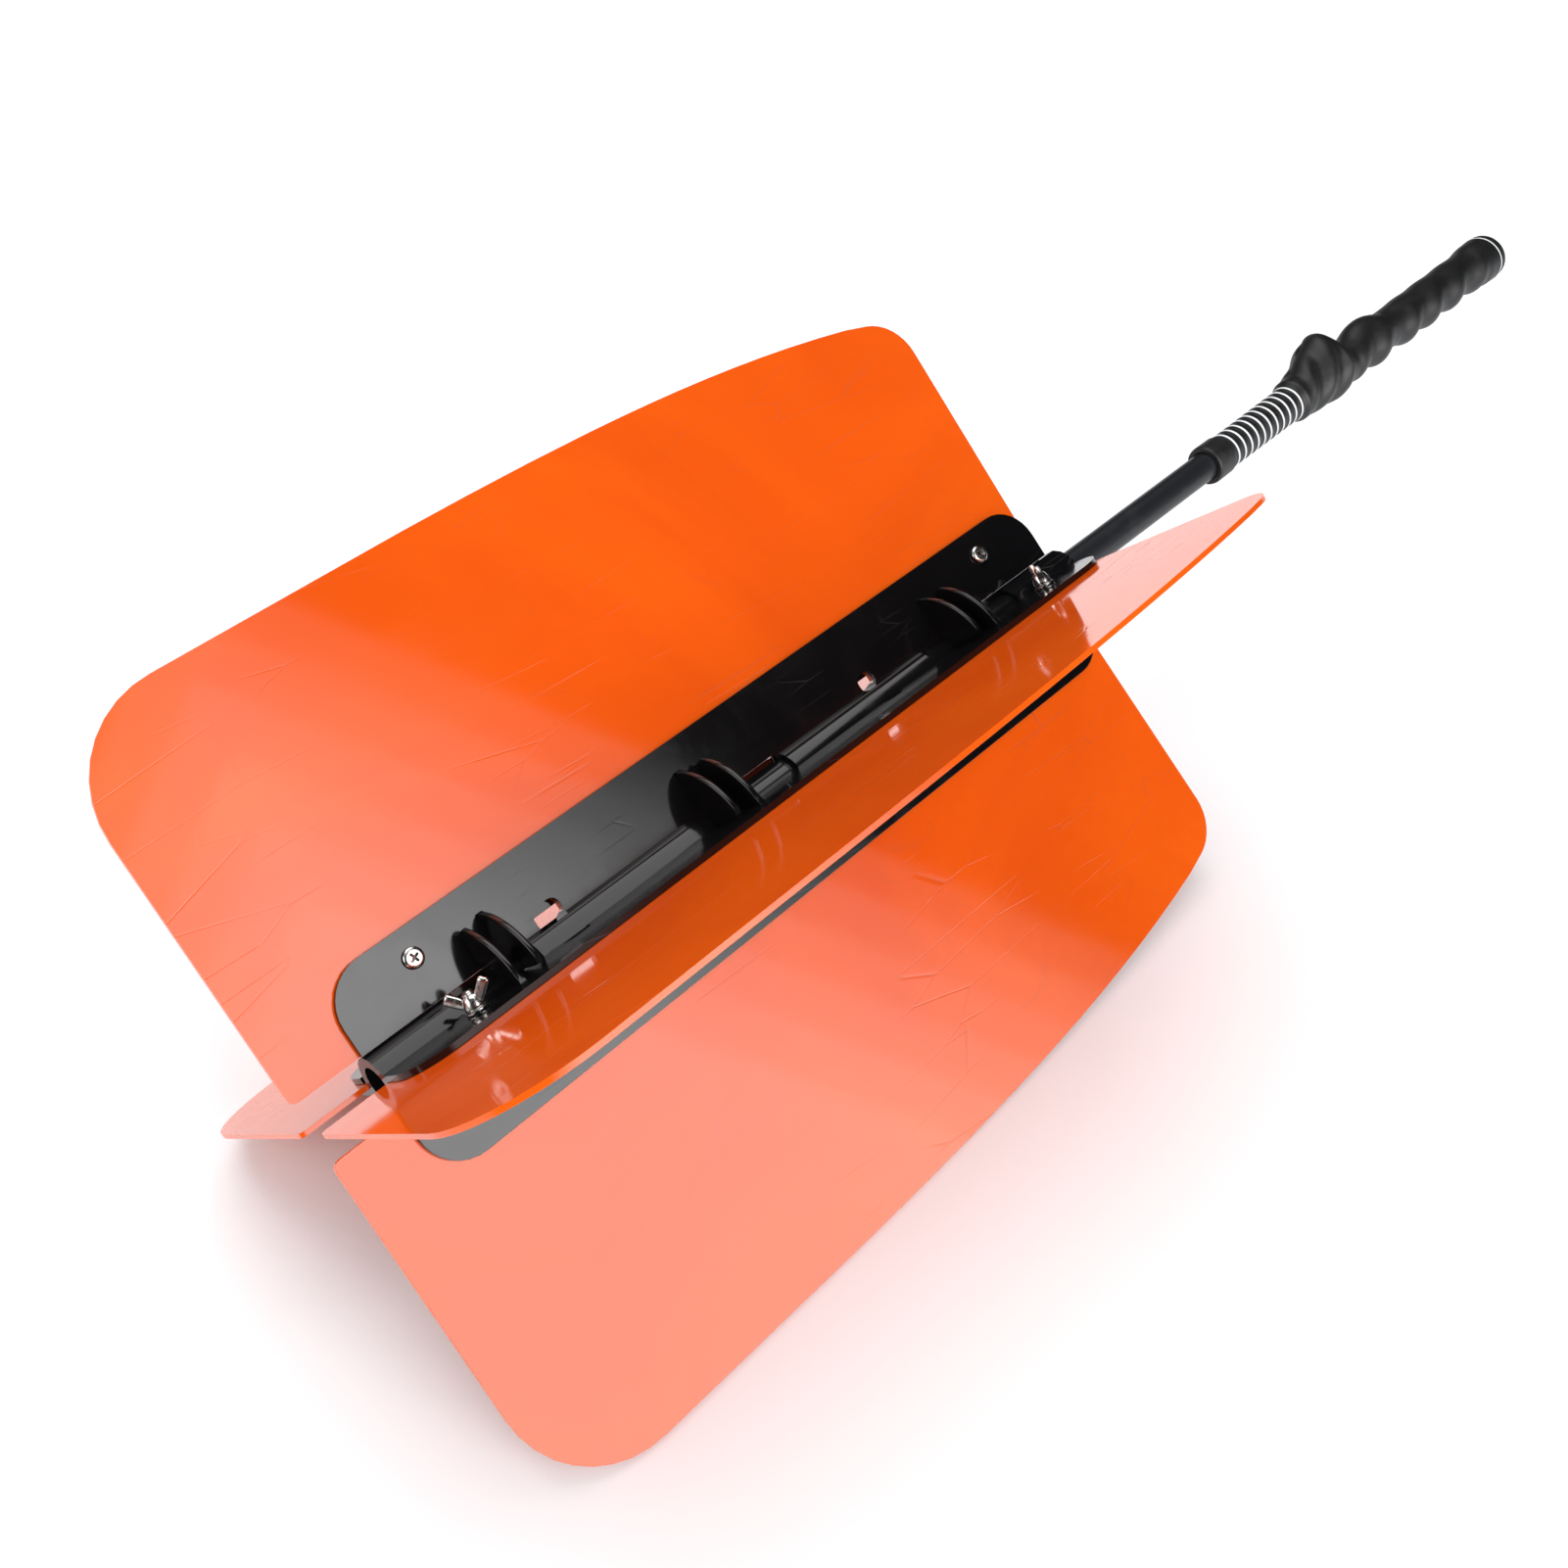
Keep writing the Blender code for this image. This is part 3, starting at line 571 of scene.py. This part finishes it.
screw = {
    "headRadius": 0.0041,
    "headHeight": 0.0016,
    "seatDepth": 0.0019,          # from the top of the CAD screw down to the plate
    "rimHeight": 0.0005,
    "rimShare": 0.4,              # of the rim's height is rounded at the foot
    "footShare": 0.94,            # of the radius, where the head meets the plate
    "flatShare": 0.62,
    "domeSteps": 10,
    "recessLength": 0.0046,
    "recessWidth": 0.00125,
    "recessDepth": 0.0028,
    "bottomLengthShare": 0.34,
    "bottomWidthShare": 0.22,
    "cutterSpare": 0.0004,        # how far the cutters stand out of the head
    "sides": 48,
    "smoothAngle": 32,
    "turns": (20, 65, 5, 48, 33, 80, 12, 57),
}


def headProfile(settings):
    # heights and radii of the head, from the plate up to the flat in the middle
    radius = settings["headRadius"]
    rim = settings["rimHeight"]
    flat = settings["flatShare"]
    profile = [(0, radius * settings["footShare"]), (rim * settings["rimShare"], radius), (rim, radius)]
    for step in range(1, settings["domeSteps"] + 1):
        angle = math.pi / 2 * step / settings["domeSteps"]
        height = rim + (settings["headHeight"] - rim) * math.sin(angle)
        profile.append((height, radius * (flat + (1 - flat) * math.cos(angle))))
    return profile


def makeScrewHead(name, matrix, settings):
    # a domed head with a cross cut into it
    head = lathe(name + "_head", headProfile(settings), settings["sides"], lambda point: point)
    scratch = bpy.data.objects.new(name + "_scratch", head)
    bpy.context.scene.collection.objects.link(scratch)
    cutters = []
    for turn in (0, math.pi / 2):
        cutter = crossBar(name + "_bar", settings, turn)
        cut = scratch.modifiers.new("cross", "BOOLEAN")
        cut.operation = "DIFFERENCE"
        cut.solver = "EXACT"
        cut.object = cutter
        cutters.append(cutter)
    graph = bpy.context.evaluated_depsgraph_get()
    graph.update()
    mesh = bpy.data.meshes.new_from_object(scratch.evaluated_get(graph))
    for item in [scratch] + cutters:
        bpy.data.objects.remove(item)
    mesh.transform(matrix)
    mesh.shade_smooth()
    mesh.set_sharp_from_angle(angle=math.radians(settings["smoothAngle"]))
    return mesh


def crossBar(name, settings, turn):
    # a tapered bar, wider at the head's face than at the bottom of the recess
    top = settings["headHeight"] + settings["cutterSpare"]
    bottom = settings["headHeight"] - settings["recessDepth"]
    rings = []
    for height, lengthShare, widthShare in (
            (bottom, settings["bottomLengthShare"], settings["bottomWidthShare"]), (top, 1.0, 1.0)):
        halfLength = settings["recessLength"] / 2 * lengthShare
        halfWidth = settings["recessWidth"] / 2 * widthShare
        corners = ((-halfLength, -halfWidth), (halfLength, -halfWidth), (halfLength, halfWidth),
                   (-halfLength, halfWidth))
        rings.append([Matrix.Rotation(turn, 3, "Z") @ Vector((x, y, height)) for x, y in corners])
    item = bpy.data.objects.new(name, loft(name, rings))
    bpy.context.scene.collection.objects.link(item)
    return item


def headSide(name):
    # which way this vane's screw heads face, in its own half's directions
    return Vector((0, 0, 1)) if name.startswith("turning") else Vector((0, -1, 0))


def screwSeat(nodeName, matrix, outwards):
    # the middle of the CAD screw, where its head meets the plate
    places = [matrix.inverted() @ vertex.co for vertex in nodes[nodeName].data.vertices]
    middle = Vector([(min(place[axis] for place in places) + max(place[axis] for place in places)) / 2
                     for axis in range(3)])
    top = max(place.dot(outwards) for place in places)
    return middle + outwards * (top - screw["seatDepth"] - middle.dot(outwards))


screwIndex = 0
for name, body in halves:
    matrix = hubMatrix if body == "turning_half" else fixedMatrix
    for end in ("free_end", "grip_end"):
        nodeName = name + "_screw_" + end
        outwards = headSide(name)
        seat = screwSeat(nodeName, matrix, outwards)
        spin = Matrix.Rotation(math.radians(screw["turns"][screwIndex]), 4, "Z")
        mesh = makeScrewHead(nodeName, matrix @ axisFrame(seat, outwards) @ spin, screw)
        addPiece(nodeName + "_head", mesh, nickel, body, "bright_plate", nodeName)
        screwIndex += 1
print("screws made")


wingNut = {
    "baseRadius": 0.0040,
    "topRadius": 0.0031,
    "height": 0.0048,
    "boreRadius": 0.0024,
    "foot": ((0.0, 0.95), (0.0004, 1), (0.0012, 1), (0.0030, 0.88)),   # height, share of base radius
    "topRound": 0.0005,
    "topShare": 0.88,
    "boreRound": 0.0004,
    "boreShare": 1.06,
    "coreSides": 40,
    "smoothAngle": 50,
    "wingSpread": 0.01015,
    "wingTop": 0.0092,
    "wingThickness": 0.0026,
    "wingWidth": 0.0043,
    "wingLean": 46,
    "rootOut": 0.0016,            # where the middle of a wing starts
    "rootUp": 0.0013,
    "spareOut": 0.0037,           # what the root and the rounded end take of the spread and the top
    "spareUp": 0.0030,
    "rootShare": 0.80,            # of the wing's width, at its root
    "flare": 1.6,
    "squareness": 0.62,
    "steps": 13,
    "corners": 16,
    "tipGrow": 0.00022,
    "tipWidths": (1.0, 0.95, 0.84, 0.62),
    "tipThicknesses": (1.0, 0.92, 0.78, 0.50),
}


def jointPlace(name):
    joint = [joint for joint in frame["joints"] if joint["name"] == name][0]
    return Vector(joint["pos_m"]), Vector(joint["axis"]).normalized()


def softSquare(turn, power):
    # a point on a square with round corners, from -1 to 1 each way
    x, y = math.cos(turn), math.sin(turn)
    return math.copysign(abs(x) ** power, x), math.copysign(abs(y) ** power, y)


def wingRings(side, settings):
    # a wing as a rounded bar that leans outwards and ends bluntly
    lean = math.radians(settings["wingLean"])
    normal = Vector((math.sin(lean), 0, -math.cos(lean)))
    rings = []
    for step in range(settings["steps"] + len(settings["tipWidths"])):
        share = min(step / settings["steps"], 1)
        past = max(step - settings["steps"], 0)   # counts the rings of the blunt end
        out = settings["rootOut"] + (settings["wingSpread"] - settings["spareOut"]) * share
        up = settings["rootUp"] + (settings["wingTop"] - settings["spareUp"]) * share
        flare = settings["rootShare"] + (1 - settings["rootShare"]) * smoothStep(share * settings["flare"])
        width = settings["wingWidth"] / 2 * flare * settings["tipWidths"][past]
        thick = settings["wingThickness"] / 2 * settings["tipThicknesses"][past]
        grow = settings["tipGrow"] * past
        centre = Vector((side * (out + grow), 0, up + grow))
        ring = []
        for corner in range(settings["corners"]):
            x, y = softSquare(math.tau * corner / settings["corners"], settings["squareness"])
            across = x * width
            ring.append(centre + Vector((side * normal.x * across, y * thick * side, normal.z * across)))
        rings.append(ring)
    return rings


def nutProfile(settings):
    # heights and radii of the nut's body: up the outside, then down the bore
    base, top, bore, height = [settings[key] for key in ("baseRadius", "topRadius", "boreRadius", "height")]
    boreRound = settings["boreRound"]
    outer = [(level, base * share) for level, share in settings["foot"]]
    outer += [(height - settings["topRound"], top), (height, top * settings["topShare"])]
    inner = [(height, bore * settings["boreShare"]), (height - boreRound, bore), (boreRound, bore),
             (0.0, bore * settings["boreShare"])]
    return outer + inner


def makeWingNut(nodeName, jointName, rest, settings):
    point, direction = jointPlace(jointName)
    matrix = axisFrame(point, direction) @ Matrix.Rotation(math.radians(rest), 4, "Z")
    core = lathe(nodeName + "_core", nutProfile(settings), settings["coreSides"], lambda place: place, True)
    work = bmesh.new()
    work.from_mesh(core)
    for side in (1, -1):
        work.from_mesh(loft(nodeName + "_wing", wingRings(side, settings)))
    mesh = finishMesh(nodeName + "_cast", work, settings["smoothAngle"])
    mesh.transform(matrix)
    addPiece(nodeName + "_cast", mesh, nickel, nodeName, "bright_plate", nodeName)


nutRests = {"free_end": 135, "grip_end": 55}   # how far each nut is turned, in degrees
for end, rest in nutRests.items():
    makeWingNut("wing_nut_" + end, end + "_nut_turn", rest, wingNut)

# heights run from the nut's seat, except in the head and the point, which run from the bolt's own ends
bolt = {
    "radius": 0.0022,
    "pitch": 0.0008,
    "threadDepth": 0.00022,
    "sides": 32,
    "smoothAngle": 25,
    "head": ((0, 0.0026), (0.0004, 0.0037), (0.0012, 0.0042), (0.0018, 0.0042)),   # height, radius
    "shankStart": 0.00181,
    "shankFinish": -0.0006,
    "threadStart": -0.0005,
    "threadSpare": 0.0008,
    "point": ((0.0004, 0.9), (0, 0.72)),   # depth below the tip, share of the radius
}
washerEdge = {"radius": 0.00015, "segments": 2, "angle": 40}


def makeBolt(nodeName, jointName, settings):
    # a round head, a plain shank, and rings for the threads
    point, direction = jointPlace(jointName)
    matrix = axisFrame(point, direction)
    reach = [(vertex.co - point).dot(direction) for vertex in nodes[nodeName].data.vertices]
    low, high = min(reach), max(reach)
    radius = settings["radius"]
    profile = [(low + up, wide) for up, wide in settings["head"]]
    profile += [(low + settings["shankStart"], radius), (settings["shankFinish"], radius)]
    height = settings["threadStart"]
    while height < high - settings["threadSpare"]:
        profile += [(height, radius - settings["threadDepth"]), (height + settings["pitch"] / 2, radius)]
        height += settings["pitch"]
    profile += [(high - down, radius * share) for down, share in settings["point"]]
    mesh = lathe(nodeName + "_thread", profile, settings["sides"], lambda place: matrix @ place, False,
                 settings["smoothAngle"])
    addPiece(nodeName + "_threaded", mesh, nickel, "fixed_half", "bright_plate", nodeName)


for end in ("free_end", "grip_end"):
    makeBolt("clamp_bolt_" + end, end + "_nut_turn", bolt)
    roundedCopy("flat_washer_" + end, nickel, "fixed_half", "bright_plate", washerEdge)
print("bolts and wing nuts made")


shaft = {"radius": 0.0072, "bore": 0.0060, "sides": 96, "chamfer": 0.0003}
shaftLow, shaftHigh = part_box("shaft_tube")


def shaftPlace(point):
    return Vector((point.z, point.x, hub["height"] + point.y))


shaftWall = [(shaftLow.x, shaft["bore"]), (shaftLow.x, shaft["radius"] - shaft["chamfer"]),
             (shaftLow.x + shaft["chamfer"], shaft["radius"]), (shaftHigh.x, shaft["radius"]),
             (shaftHigh.x, shaft["bore"])]
addPiece("shaft_coated", lathe("shaft_coated", shaftWall, shaft["sides"], shaftPlace, True), graphite,
         "fixed_half", "shaft_graphite", "shaft_tube")
nodes["shaft_plug"].data.materials.clear()
nodes["shaft_plug"].data.materials.append(black)


# lengths on the grip run from the vanes' free end, as on the hub
grip = {
    "start": 0.5330,
    "finish": 0.8120,
    "rings": 560,
    "sides": 144,
    "smoothAngle": 50,
    "bore": 0.0076,
    "profile": ((0.5330, 0.0096), (0.5345, 0.0100), (0.5455, 0.0099), (0.5475, 0.0091), (0.6040, 0.0094),
                (0.6080, 0.0096), (0.6120, 0.0114), (0.6300, 0.0112), (0.6600, 0.0110), (0.6800, 0.0117),
                (0.7900, 0.0118), (0.8030, 0.0129), (0.8120, 0.0131)),
    "ringCount": 11,
    "firstRing": 0.5500,
    "ringPitch": 0.00570,
    "ringWidth": 0.0013,
    "grooveDepth": 0.00022,
    "grooveReach": 0.34,
}
thumbRest = {
    "start": 0.6100,
    "peak": 0.6490,
    "foot": 0.6590,
    "height": 0.0110,
    "footBack": 0.0045,        # how far the foot bends back round the far side
    "peakOn": 0.0010,
    "footSpare": 0.0016,
    "riseCurve": 1.25,
    "narrowness": 2.1,
    "sideHeight": 0.0030,
    "sideTurn": 1.25,
    "backHeight": 0.0022,
}
windingRidge = {
    "centre": 0.6380,
    "pitch": 0.0170,
    "twist": 0.42,
    "height": 0.0023,
    "level": 0.45,
    "start": 0.6130,
    "fadeIn": 0.008,
    "fadeOut": 0.005,
    "farShare": 0.35,
}
palmBump = {
    "centre": 0.6850,
    "reach": 0.0185,
    "height": 0.0038,
    "turn": 0.2,
}
fingerWave = {
    "centres": (0.6640, 0.6870, 0.7170, 0.7400, 0.7650, 0.7910),
    "depth": 0.0030,
    "reach": 0.0128,
    "level": 0.55,
    "slant": 0.0050,
    "slantShare": 0.9,
    "from": 0.656,
    "fadeFrom": 0.658,
    "to": 0.802,
    "fadeIn": 0.006,
    "fadeOut": 0.008,
    "topShare": 0.14,          # how deep the waves stay on the thumb's side
    "turnsFrom": 0.75,
    "turnsOver": 1.3,
}


def hill(value, centre, reach):
    # a round hump, 1 at its centre
    return max(0, 1 - ((value - centre) / reach) ** 2) ** 2


def profileRadius(along):
    for (x0, r0), (x1, r1) in zip(grip["profile"], grip["profile"][1:]):
        if along <= x1:
            return r0 + (r1 - r0) * smoothStep((along - x0) / (x1 - x0))
    return grip["profile"][-1][1]


def ribDrop(along):
    # shallow grooves between the painted rings
    first = grip["firstRing"] - grip["ringPitch"] / 2
    last = grip["firstRing"] + grip["ringPitch"] * (grip["ringCount"] - 0.5)
    if not first < along < last:
        return 0
    share = ((along - grip["firstRing"]) / grip["ringPitch"]) % 1
    return grip["grooveDepth"] * hill(share, 0.5, grip["grooveReach"])


def thumbRise(along, turn, foot, settings):
    # a slow twisted rise and a steep foot that bends back down the side
    facing = math.cos(turn)
    peak = settings["peak"] + settings["peakOn"] * (1 - facing)
    climb = smoothStep((along - settings["start"]) / (peak - settings["start"])) ** settings["riseCurve"]
    fall = 1 - smoothStep((along - peak) / (foot + settings["footSpare"] - peak))
    front = settings["height"] * climb * fall * max(0, facing) ** settings["narrowness"]
    flank = settings["sideHeight"] * climb * fall * max(0, math.cos(turn - settings["sideTurn"])) ** 2
    back = settings["backHeight"] * climb * fall * max(0, math.cos(turn - math.pi)) ** 2
    return front + flank + back


def ridgeRise(along, turn, foot, settings):
    # ridges that wind round the thumb rest
    if not thumbRest["start"] < along < foot:
        return 0
    wind = (along - settings["centre"]) / settings["pitch"] + turn * settings["twist"]
    ridge = hill(wind % 1, 0.5, 0.5) - settings["level"]
    fadeIn = smoothStep((along - settings["start"]) / settings["fadeIn"])
    fadeOut = smoothStep((foot - along) / settings["fadeOut"])
    share = settings["farShare"] + (1 - settings["farShare"]) * max(0, math.sin(turn))
    return settings["height"] * ridge * (fadeIn * fadeOut) * share


def palmRise(along, turn, settings):
    lump = settings["height"] * hill(along, settings["centre"], settings["reach"])
    return lump * max(0, math.cos(turn - settings["turn"])) ** 3


def fingerRise(along, facing, settings):
    # finger hollows between slanted ridges on the underside and near side
    if not settings["from"] < along < settings["to"]:
        return 0
    underside = smoothStep((settings["turnsFrom"] - facing) / settings["turnsOver"])
    cover = settings["topShare"] + (1 - settings["topShare"]) * underside
    slant = along - settings["slant"] * (facing + 1) * settings["slantShare"]
    fadeIn = smoothStep((along - settings["fadeFrom"]) / settings["fadeIn"])
    fadeOut = smoothStep((settings["to"] - along) / settings["fadeOut"])
    nearest = min(abs(slant - centre) for centre in settings["centres"])
    swell = math.cos(math.pi * min(nearest / settings["reach"], 1))
    return settings["depth"] * 0.5 * (swell - settings["level"]) * (fadeIn * fadeOut) * cover


def gripRadius(along, turn):
    # turn 0 faces the upper turning vane, where the thumb rest stands up; a quarter turn is the upper side
    facing = math.cos(turn)
    foot = thumbRest["foot"] - thumbRest["footBack"] * (1 - facing) * 0.5
    radius = profileRadius(along) - ribDrop(along)
    radius += thumbRise(along, turn, foot, thumbRest)
    radius += ridgeRise(along, turn, foot, windingRidge)
    radius += palmRise(along, turn, palmBump)
    radius += fingerRise(along, facing, fingerWave)
    return radius


def gripPoint(along, turn, radius):
    return hubPoint(along, radius * math.cos(turn), radius * math.sin(turn))


def makeGrip(settings):
    turns = [math.tau * side / settings["sides"] for side in range(settings["sides"])]
    length = settings["finish"] - settings["start"]
    rings = [[gripPoint(settings["start"], turn, settings["bore"]) for turn in turns]]
    for step in range(settings["rings"] + 1):
        along = settings["start"] + length * step / settings["rings"]
        rings.append([gripPoint(along, turn, gripRadius(along, turn)) for turn in turns])
    rings.append([gripPoint(settings["finish"], turn, settings["bore"]) for turn in turns])
    mesh = loft("grip_moulded", rings, True, settings["smoothAngle"])
    addPiece("grip_moulded", mesh, rubber, "fixed_half", "grip_rubber", "grip_body")


paintedRing = {
    "sides": 96,
    "smoothAngle": 60,
    "sink": 0.0001,
    "height": 0.00012,
    "shoulder": 0.6,           # of the height, at the ring's edges
    "flat": 0.3,               # of the width, from the middle to where the top starts to fall
    "endPlace": 0.8106,
    "endWidth": 0.0009,
    "endHeight": 0.00008,
}


def ringBand(name, centre, width, height, settings):
    # a thin raised band that follows the grip's own surface
    turns = [math.tau * side / settings["sides"] for side in range(settings["sides"])]
    flat, shoulder = settings["flat"], height * settings["shoulder"]
    section = ((-0.5, -settings["sink"]), (-0.5, shoulder), (-flat, height), (flat, height),
               (0.5, shoulder), (0.5, -settings["sink"]))
    rings = []
    for offset, lift in section:
        along = centre + offset * width
        rings.append([gripPoint(along, turn, gripRadius(along, turn) + lift) for turn in turns])
    addPiece(name, loft(name, rings, True, settings["smoothAngle"]), paint, "fixed_half", "grip_rubber")


makeGrip(grip)
for index in range(grip["ringCount"]):
    centre = grip["firstRing"] + grip["ringPitch"] * index
    ringBand("grip_ring_" + str(index + 1), centre, grip["ringWidth"], paintedRing["height"], paintedRing)
ringBand("grip_end_ring", paintedRing["endPlace"], paintedRing["endWidth"], paintedRing["endHeight"],
         paintedRing)

gripCap = {
    "sides": 96,
    "chamfer": 0.0004,
    "chamferShare": 0.98,
    "straightShare": 0.4,      # of the length, before the end rounds over
    "flatShare": 0.80,
    "steps": 8,
}


def capProfile(settings):
    low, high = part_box("grip_cap")
    length = high.x - low.x
    radius = (high.y - low.y) / 2
    straight, flat = settings["straightShare"], settings["flatShare"]
    profile = [(low.x, radius * settings["chamferShare"]), (low.x + settings["chamfer"], radius),
               (low.x + length * straight, radius)]
    for step in range(1, settings["steps"] + 1):
        turn = math.radians(90) * step / settings["steps"]
        along = low.x + length * (straight + (1 - straight) * math.sin(turn))
        profile.append((along, radius * (flat + (1 - flat) * math.cos(turn))))
    return profile


capMesh = lathe("grip_cap_moulded", capProfile(gripCap), gripCap["sides"], shaftPlace)
addPiece("grip_cap_moulded", capMesh, rubber, "fixed_half", "grip_rubber", "grip_cap")
print("shaft and grip made")


stage = {
    "floorColour": (0.93, 0.93, 0.93),
    "floorSize": 12,
    "floorDrop": 0.0005,      # keeps the floor just under the lowest edges
    "floorRoughness": 0.8,
    "worldColour": (0.93, 0.96, 1.0),
    "worldLight": 0.58,
}

# places and the edge are in the hub's directions; the layers grow outwards, so that the edge fades
softbox = {
    "centre": (0.41, -0.92, 1.5),
    "edge": (0.593, -0.805, 0),
    "size": (1.8, 1.6),
    "fade": 0.17,
    "layers": 6,
    "layerGap": 0.002,
    "brightness": 5.5,
}

lamps = {
    "overhead": {"centre": (0.3, 0.9, 2.6), "target": (0, 0.1, 0), "size": (2.6, 2.6), "watts": 46},
    "left fill": {"centre": (-2.4, 0.6, 1.3), "target": (0, 0, 0.1), "size": (1.6, 1.4), "watts": 18},
}

# this one is placed in the hub's directions, and isn't mirrored in the glossy faces
frontLamp = {"centre": (-0.2, -0.35, 2.2), "target": (0.2, 0, 0), "size": (1.6, 1.6), "watts": 26}


def makeFloor(settings):
    material, tree, shader = newMaterial("pale floor")
    space = objectSpace(tree)
    tone = remap(tree, noise(tree, space, 3, 4), 0.3, 0.7, 0.985, 1)
    white = addNode(tree, "ShaderNodeMix", data_type="RGBA", blend_type="MULTIPLY")
    sockets = [socket for socket in white.inputs if socket.type == "RGBA"]
    white.inputs["Factor"].default_value = 1
    sockets[0].default_value = (*settings["floorColour"], 1)
    tree.links.new(tone, sockets[1])
    product = [socket for socket in white.outputs if socket.type == "RGBA"][0]
    tree.links.new(product, shader.inputs["Base Color"])
    shader.inputs["Roughness"].default_value = settings["floorRoughness"]
    half = settings["floorSize"] / 2
    corners = [(-half, -half, 0), (half, -half, 0), (half, half, 0), (-half, half, 0)]
    mesh = bpy.data.meshes.new("floor")
    mesh.from_pydata(corners, [], [(0, 1, 2, 3)])
    mesh.materials.append(material)
    floor = bpy.data.objects.new("floor", mesh)
    floor.location.z = -settings["floorDrop"]
    bpy.context.scene.collection.objects.link(floor)


def makeLight(name, centre, target, size, watts, edge=None):
    data = bpy.data.lights.new(name, "AREA")
    data.shape = "RECTANGLE"
    data.size, data.size_y = size
    data.energy = watts
    item = bpy.data.objects.new(name, data)
    bpy.context.scene.collection.objects.link(item)
    facing = (Vector(target) - Vector(centre)).normalized()
    if edge is None:
        turned = facing.to_track_quat("-Z", "Y").to_matrix()
    else:
        # the lamp's long side lies along the edge
        back = -facing
        along = (Vector(edge) - back * Vector(edge).dot(back)).normalized()
        turned = Matrix((along, back.cross(along), back)).transposed()
    item.matrix_world = Matrix.Translation(centre) @ turned.to_4x4()
    item.visible_camera = False
    return item


def makeSoftbox(settings):
    turned = hubMatrix.to_3x3()
    centre = hubPoint(*settings["centre"])
    below = centre + turned @ Vector((0, 0, -1))
    for layer in range(settings["layers"]):
        grow = settings["fade"] * (2 * layer / (settings["layers"] - 1) - 1) * 2
        size = [side + grow for side in settings["size"]]
        watts = settings["brightness"] * math.pi * size[0] * size[1] / settings["layers"]
        lift = turned @ Vector((0, 0, settings["layerGap"] * layer))
        item = makeLight("softbox_layer_" + str(layer + 1), centre + lift, below + lift, size, watts,
                         turned @ Vector(settings["edge"]))
        item.visible_diffuse = False


makeFloor(stage)
makeSoftbox(softbox)
for name, lamp in lamps.items():
    makeLight(name, lamp["centre"], lamp["target"], lamp["size"], lamp["watts"])
frontFill = makeLight("front fill", hubPoint(*frontLamp["centre"]), hubPoint(*frontLamp["target"]),
                      frontLamp["size"], frontLamp["watts"])
frontFill.visible_glossy = False

world = bpy.data.worlds.new("studio")
world.use_nodes = True
bpy.context.scene.world = world
background = world.node_tree.nodes["Background"]
background.inputs["Color"].default_value = (*stage["worldColour"], 1)
background.inputs["Strength"].default_value = stage["worldLight"]
world.cycles_visibility.glossy = False   # the studio round the piece is dark in reflections
bpy.context.scene.view_settings.view_transform = "Standard"
print("floor and light made")
